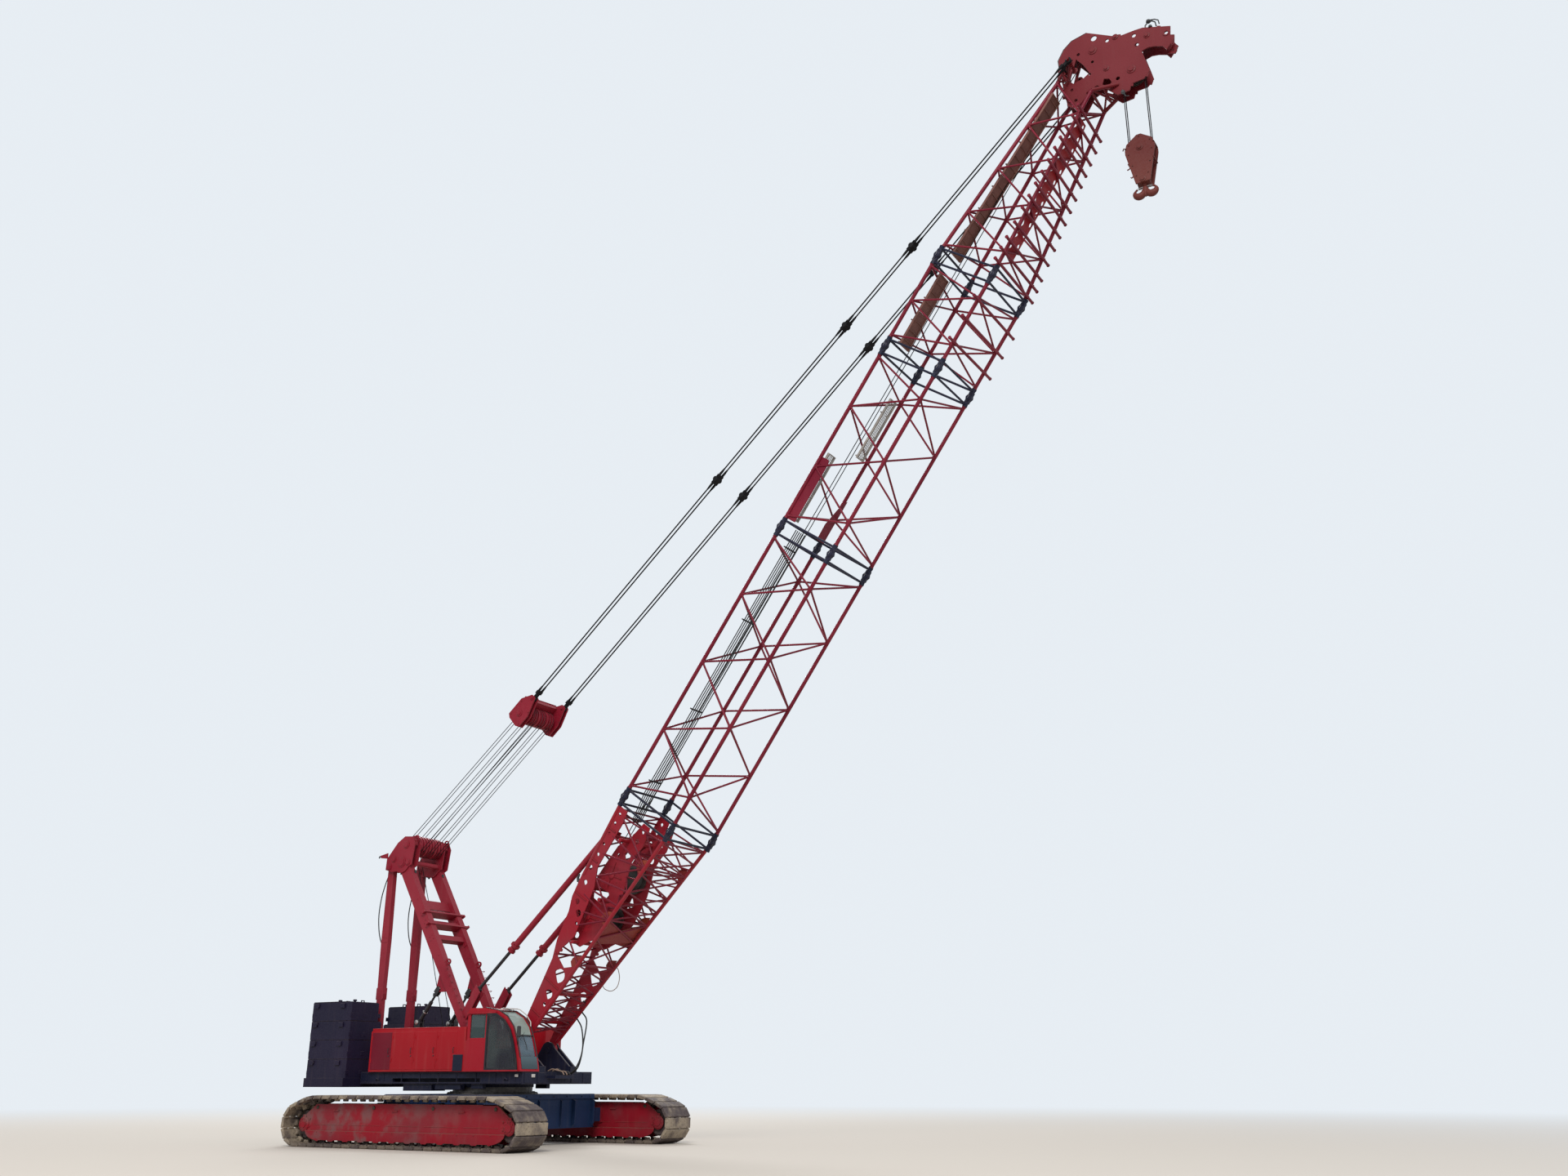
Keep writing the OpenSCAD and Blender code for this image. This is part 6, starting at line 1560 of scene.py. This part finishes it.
for side in (-1, 1):
    middle = side * pendant_y
    for u in (9.144, 15.24, 18.288):
        for face in (-1, 1):
            for du in (-0.13, 0.13):
                add_bolt(bm, (u + du, middle + face * 0.12, 0), (0, face, 0), 0.022, pendant_place)
    sockets = [(u, end, link_socket) for u in (9.144, 15.24, 18.288) for end in (-1, 1)]
    sockets += [(0.24, 1, end_socket), (pendant_run.length - 0.24, -1, end_socket)]
    for strand in (-0.075, 0.075):
        for u, end, profile in sockets:
            add_turned(bm, profile, (u, middle + strand, 0), (end, 0, 0), 14, pendant_place)
new_piece("pendant_sockets", bm, strand_black, "boom")

# Bridle: red plate cheeks and a shaft with eight sheaves, which gathers the luffing ropes.
# Bolted covers close its shaft and the pendant pins, and a flat bar ties the two cheeks.
coat_node(gantry_red, "bridle")
bm = bmesh.new()
for side in (-1, 1):
    for face in (-1, 1):
        y = side * pendant_y + face * 0.098
        for u, r in ((-0.65, 0.11), (0.0, 0.07)):
            add_cover(bm, (u, y, 0), face, r, 0.016, 0.022, 0.045, place=pendant_place)
        for u, w in ((-0.9, 0.25), (-0.9, -0.25), (-0.35, 0.25), (-0.4, -0.25)):
            add_bolt(bm, (u, y, w), (0, face, 0), 0.018, pendant_place)
add_block(bm, (-0.44, -0.7, 0.285), (-0.14, 0.7, 0.31), 0.006, pendant_place)
new_piece("bridle_bolts", bm, gantry_red, "boom")

# Luffing ropes: twelve parts of wire rope between the bridle and the gantry head, and two more
# parts from the head down to the winch on the deck. The straight parts are set on no body.
bm = bmesh.new()
wraps_low = bmesh.new()
wraps_high = bmesh.new()
rope_half, head_groove, bridle_groove = 0.011, 0.33, 0.30
bridle_shaft = pendant_place @ Vector((-0.65, 0.0, 0.0))
head_shaft = Vector((-3.65, 0.0, 9.02))
reach = bridle_shaft - head_shaft
reach_way = reach.normalized()
across = Vector((-reach_way.z, 0.0, reach_way.x))
for k in (0, 1, 3, 4, 6, 7):
    y = Vector((0.0, (k - 3.5) * 0.13, 0.0))
    for face in (-1, 1):
        ends = [
            head_shaft + y + across * face * head_groove, bridle_shaft + y + across * face * bridle_groove
        ]
        add_tube(bm, ends, rope_half, 8)
    for wraps, shaft, groove, way in (
        (wraps_low, head_shaft, head_groove, -reach_way),
        (wraps_high, bridle_shaft, bridle_groove, reach_way)
    ):
        turns = [math.pi * j / 12 for j in range(13)]
        arc = [shaft + y + groove * (across * math.cos(a) + way * math.sin(a)) for a in turns]
        add_tube(wraps, arc, rope_half, 8)
for y in (-0.2, 0.2):
    add_tube(wraps_low, [(-1.78, y, 2.62), (-3.98, y * 0.4, 8.95)], rope_half, 8)
luffing_falls = new_piece("luffing_falls", bm, strand_black, None)
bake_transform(luffing_falls)
new_piece("luffing_wraps", wraps_low, strand_black, "upperstructure")
new_piece("bridle_wraps", wraps_high, strand_black, "boom")

# Hoist ropes: one from each drum, over the guide sheaves and round the hoist sheaves of the head.
# Black wire rope that rides on the boom; the falls below the head belong to the hook line.
bm = bmesh.new()
fall_x, sheave_z, rope_reach = 21.9486, 29.1788, 0.334
for drum_s, drum_y, drum_o, y in ((4.3, -0.48, 0.35 + 0.344, -0.09), (5.7, -0.36, 0.33 + 0.324, 0.09)):
    path = [(drum_s, drum_y, drum_o), (33.72, y, 0.834)]
    for a in range(15, 91, 15):
        turn = math.radians(a)
        path.append((33.738 + rope_reach * math.sin(turn), y, 0.5 + rope_reach * math.cos(turn)))
    add_tube(bm, path, 0.013, 8, boom_place)
    turns = [math.radians(a) for a in range(-30, 211, 15)]
    add_tube(
        bm, [(fall_x - rope_reach * math.cos(t), y, sheave_z + rope_reach * math.sin(t)) for t in turns],
        0.013, 8
    )
new_piece("hoist_ropes", bm, strand_black, "boom")

# Backstops: red tubes over black rods, with bolted collars at their lower ends and pinned eyes.
# A bolted collar holds the seal of each rod, and the upper pins go through lugs on the base.
coat_node(gantry_red, "backstop_tubes")
coat_node(rod_black, "backstop_rods")
stop_top = Vector((4.5483, 0.0, 8.7504))
stop_run = Vector((-0.23, 0.0, 4.40)) - stop_top
stop_place = Matrix.Translation(stop_top) @ Matrix.Rotation(-math.atan2(stop_run.z, stop_run.x), 4, "Y")
bm = bmesh.new()
for side in (-1, 1):
    for k in range(8):
        turn = math.radians(45 * k)
        spot = Vector((4.62, side * stop_y + 0.122 * math.cos(turn), 0.122 * math.sin(turn)))
        add_bolt(bm, spot, (-1, 0, 0), 0.016, stop_place)
        add_bolt(bm, spot + Vector((0.06, 0, 0)), (1, 0, 0), 0.016, stop_place)
    add_turned(
        bm, [(0.105, 0), (0.105, 0.06), (0.097, 0.09)], (0.25, side * stop_y, 0), (1, 0, 0), 24, stop_place
    )
    for face in (-1, 1):
        eye = (0, side * stop_y + face * 0.1, 0)
        add_cap(bm, eye, (0, face, 0), 0.07, 0.015, 0.04, 0.03, 20, stop_place)
new_piece("backstop_bolts", bm, gantry_red, "backstop_tube")

# Hook block: heavy side plates bolted over two sheaves, in worn brown-red paint. The forged
# double hook turns in its trunnion, and spring latches close both throats.
block_red = enamel(
    "block_red", (0.095, 0.012, 0.011), (0.125, 0.028, 0.022), (0.05, 0.035, 0.03), (0.17, 0.10, 0.08), 0.3,
    0.8, 0.5
)
coat_node(block_red, "hook_block")
block_x, block_z = fall_x, 26.5388
bm = bmesh.new()
for face in (-1, 1):
    y = face * 0.18
    for x, z, r in ((0.0, 0.0, 0.1), (0.0, -1.06, 0.09)):
        add_cover(bm, (block_x + x, y, block_z + z), face, r, 0.016, 0.022, 0.045)
    for x, z in (
        (-0.3, 0.15), (0.3, 0.15), (-0.33, -0.15), (0.33, -0.15), (-0.25, -0.55), (0.25, -0.55),
        (0.0, 0.36), (-0.17, -0.9), (0.17, -0.9)
    ):
        add_bolt(bm, (block_x + x, y, block_z + z), (0, face, 0), 0.018)
for x, z in ((-0.40, 0.05), (-0.36, -0.45), (0.40, 0.05), (0.36, -0.45)):
    add_tube(bm, [(block_x + x, y, block_z + z) for y in (-0.18, 0.18)], 0.022, 10)
for x, z, turn in ((-0.41, 0.08, 15), (-0.34, -0.58, -20), (-0.26, -0.86, -30)):
    bent = ((0.03, 0.0), (-0.05, 0.002 * turn), (-0.07, -0.03))
    add_tube(bm, [(block_x + x + dx, -0.16, block_z + z + dz) for dx, dz in bent], 0.018, 8)
new_piece("block_bolts", bm, block_red, "lower_block")

# Double hook: one heavy forging with a horn to each side, worn to bare brown steel in its throats.
# A nut holds its shank over the trunnion, and sprung latches close both throats.
bm = bmesh.new()
hook_seat = block_z - 1.15
shank = [
    (0.05, -0.36), (0.085, -0.26), (0.085, -0.16), (0.06, -0.06), (0.06, 0.235), (0.04, 0.25), (0, 0.25)
]
for sides, profile in (
    (28, shank),
    (6, [(0.105, 0.171), (0.105, 0.215), (0.09, 0.231), (0, 0.231)]),
    (28, [(0.0, -0.004), (0.09, -0.004), (0.09, -0.05), (0.075, -0.058), (0.0, -0.058)]),
):
    add_turned(bm, profile, (block_x, 0, hook_seat), (0, 0, 1), sides)
latches = bmesh.new()
for side in (-1, 1):
    horn, thickness = [], []
    for k in range(25):
        turn = 165 + 11.0 * k
        reach = 0.128 - 0.018 * max(0.0, (turn - 330) / 100)
        a = math.radians(turn)
        x, z = 0.178 + reach * math.cos(a), hook_seat - 0.200 + reach * math.sin(a)
        horn.append(Vector((block_x + side * x, 0.0, z)))
        heavy = max(0.0, 1 - ((turn - 262) / 125) ** 2)
        thickness.append(0.030 + 0.072 * heavy)
    add_tube(bm, horn, thickness, 20)
    for y in (-0.03, 0.03):
        root = (block_x + side * 0.055, y, hook_seat - 0.075)
        add_tube(latches, [root, horn[-1] + Vector((-side * 0.01, y, 0.01))], 0.012, 8)
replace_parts(new_piece("double_hook_forging", bm, block_red, "double_hook", 50.0), "hook")
new_piece("hook_latches", latches, bright_steel, "double_hook")

# Hydraulic hoses and cables: black and tan rubber hoses that hang in loops between fixed clamps,
# at the foot of the boom, on the front shelf and behind the rear struts.
hose_rubber = plain_finish(
    "hose_rubber", (12.0, 4.0), ((0.008, 0.008, 0.009), (0.028, 0.026, 0.026)), (40.0, 0.5, 0.8),
    (140.0, 0.0008, 0.3)
)
hose_tan = plain_finish(
    "hose_tan", (9.0, 4.0), ((0.20, 0.12, 0.085), (0.34, 0.25, 0.19)), (40.0, 0.5, 0.85),
    (140.0, 0.0008, 0.3)
)


def smooth_run(marks, count=32):
    """Evenly spaced points of a smooth curve through the marks."""
    marks = [Vector(m) for m in marks]
    marks = [2 * marks[0] - marks[1]] + marks + [2 * marks[-1] - marks[-2]]
    fine = []
    for a, b, c, d in zip(marks, marks[1:], marks[2:], marks[3:]):
        for j in range(24):
            t = j / 24
            bend = (2 * a - 5 * b + 4 * c - d) * t * t + (3 * b - a - 3 * c + d) * t ** 3
            fine.append(0.5 * (2 * b + (c - a) * t + bend))
    fine.append(marks[-2])
    gone = [0.0]
    for a, b in zip(fine, fine[1:]):
        gone.append(gone[-1] + (b - a).length)
    spaced = []
    for k in range(count):
        want = gone[-1] * k / (count - 1)
        j = max(i for i in range(len(gone)) if gone[i] <= want + 1e-9)
        j = min(j, len(fine) - 2)
        share = (want - gone[j]) / max(gone[j + 1] - gone[j], 1e-9)
        spaced.append(fine[j].lerp(fine[j + 1], min(share, 1.0)))
    return spaced


def hang_hose(name, marks, diameter, material, body, span=None):
    """A hose with both ends fixed; one that crosses the boom foot is given a span and set on no body."""
    path = smooth_run(marks)
    bm = bmesh.new()
    add_tube(bm, path, diameter / 2, 12)
    hose = new_piece(name, bm, material, None if span else body)
    if span:
        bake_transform(hose)


for k, (s, y) in enumerate(((1.25, 0.36), (1.5, 0.44))):
    high = boom_place @ Vector((s, base_y(s), base_front(s) - 0.065))
    marks = [(2.47, y, 1.955), (2.64, y, 1.99), (2.82, y + 0.03, 2.15), (2.94 - 0.05 * k, y + 0.08, 2.45)]
    marks += [(2.92 - 0.05 * k, y + 0.17, 2.80), high + Vector((0.22, -0.05, -0.26)), high]
    bend = (Vector((2.85, y, 2.2)), high + Vector((0.2, 0.0, -0.3)))
    hang_hose("foot_hose_%d" % (k + 1), marks, 0.042, hose_rubber, None, bend)
for k, (y, x) in enumerate(((-0.12, 2.2), (0.02, 2.25), (0.16, 2.2))):
    marks = [(x, y, 2.05), (x + 0.15, y + 0.01, 2.10), (2.5, y + 0.03, 2.07 - 0.02 * k)]
    marks += [(2.68, y + 0.05, 2.03), (2.755, y + 0.06, 1.94)]
    hang_hose(
        "shelf_hose_%d" % (k + 1), marks, 0.036, (hose_tan, hose_tan, hose_rubber)[k], "upperstructure"
    )
strut_run = (
    (-4.475, 8.16), (-4.60, 7.9), (-4.74, 7.45), (-4.80, 6.9), (-4.74, 6.4), (-4.62, 6.05), (-4.475, 5.85)
)
for k, y in enumerate((-strut_y, strut_y)):
    marks = [(x, y, z) for x, z in strut_run]
    hang_hose("strut_hose_%d" % (k + 1), marks, 0.034, hose_rubber, "upperstructure")
loop_low, loop_high = (
    boom_place @ Vector((s, y, base_front(s) - 0.04)) for s, y in ((2.5, 0.84), (3.2, 0.86))
)
loop_steps = ((0.0, 0.0), (0.10, -0.10), (0.34, -0.16), (0.55, -0.04), (0.62, 0.2))
marks = [loop_low + Vector((x, 0, z)) for x, z in loop_steps]
marks += [loop_high + Vector((0.07, 0, -0.08)), loop_high]
hang_hose("boom_cable_loop", marks, 0.022, hose_tan, "boom", None)
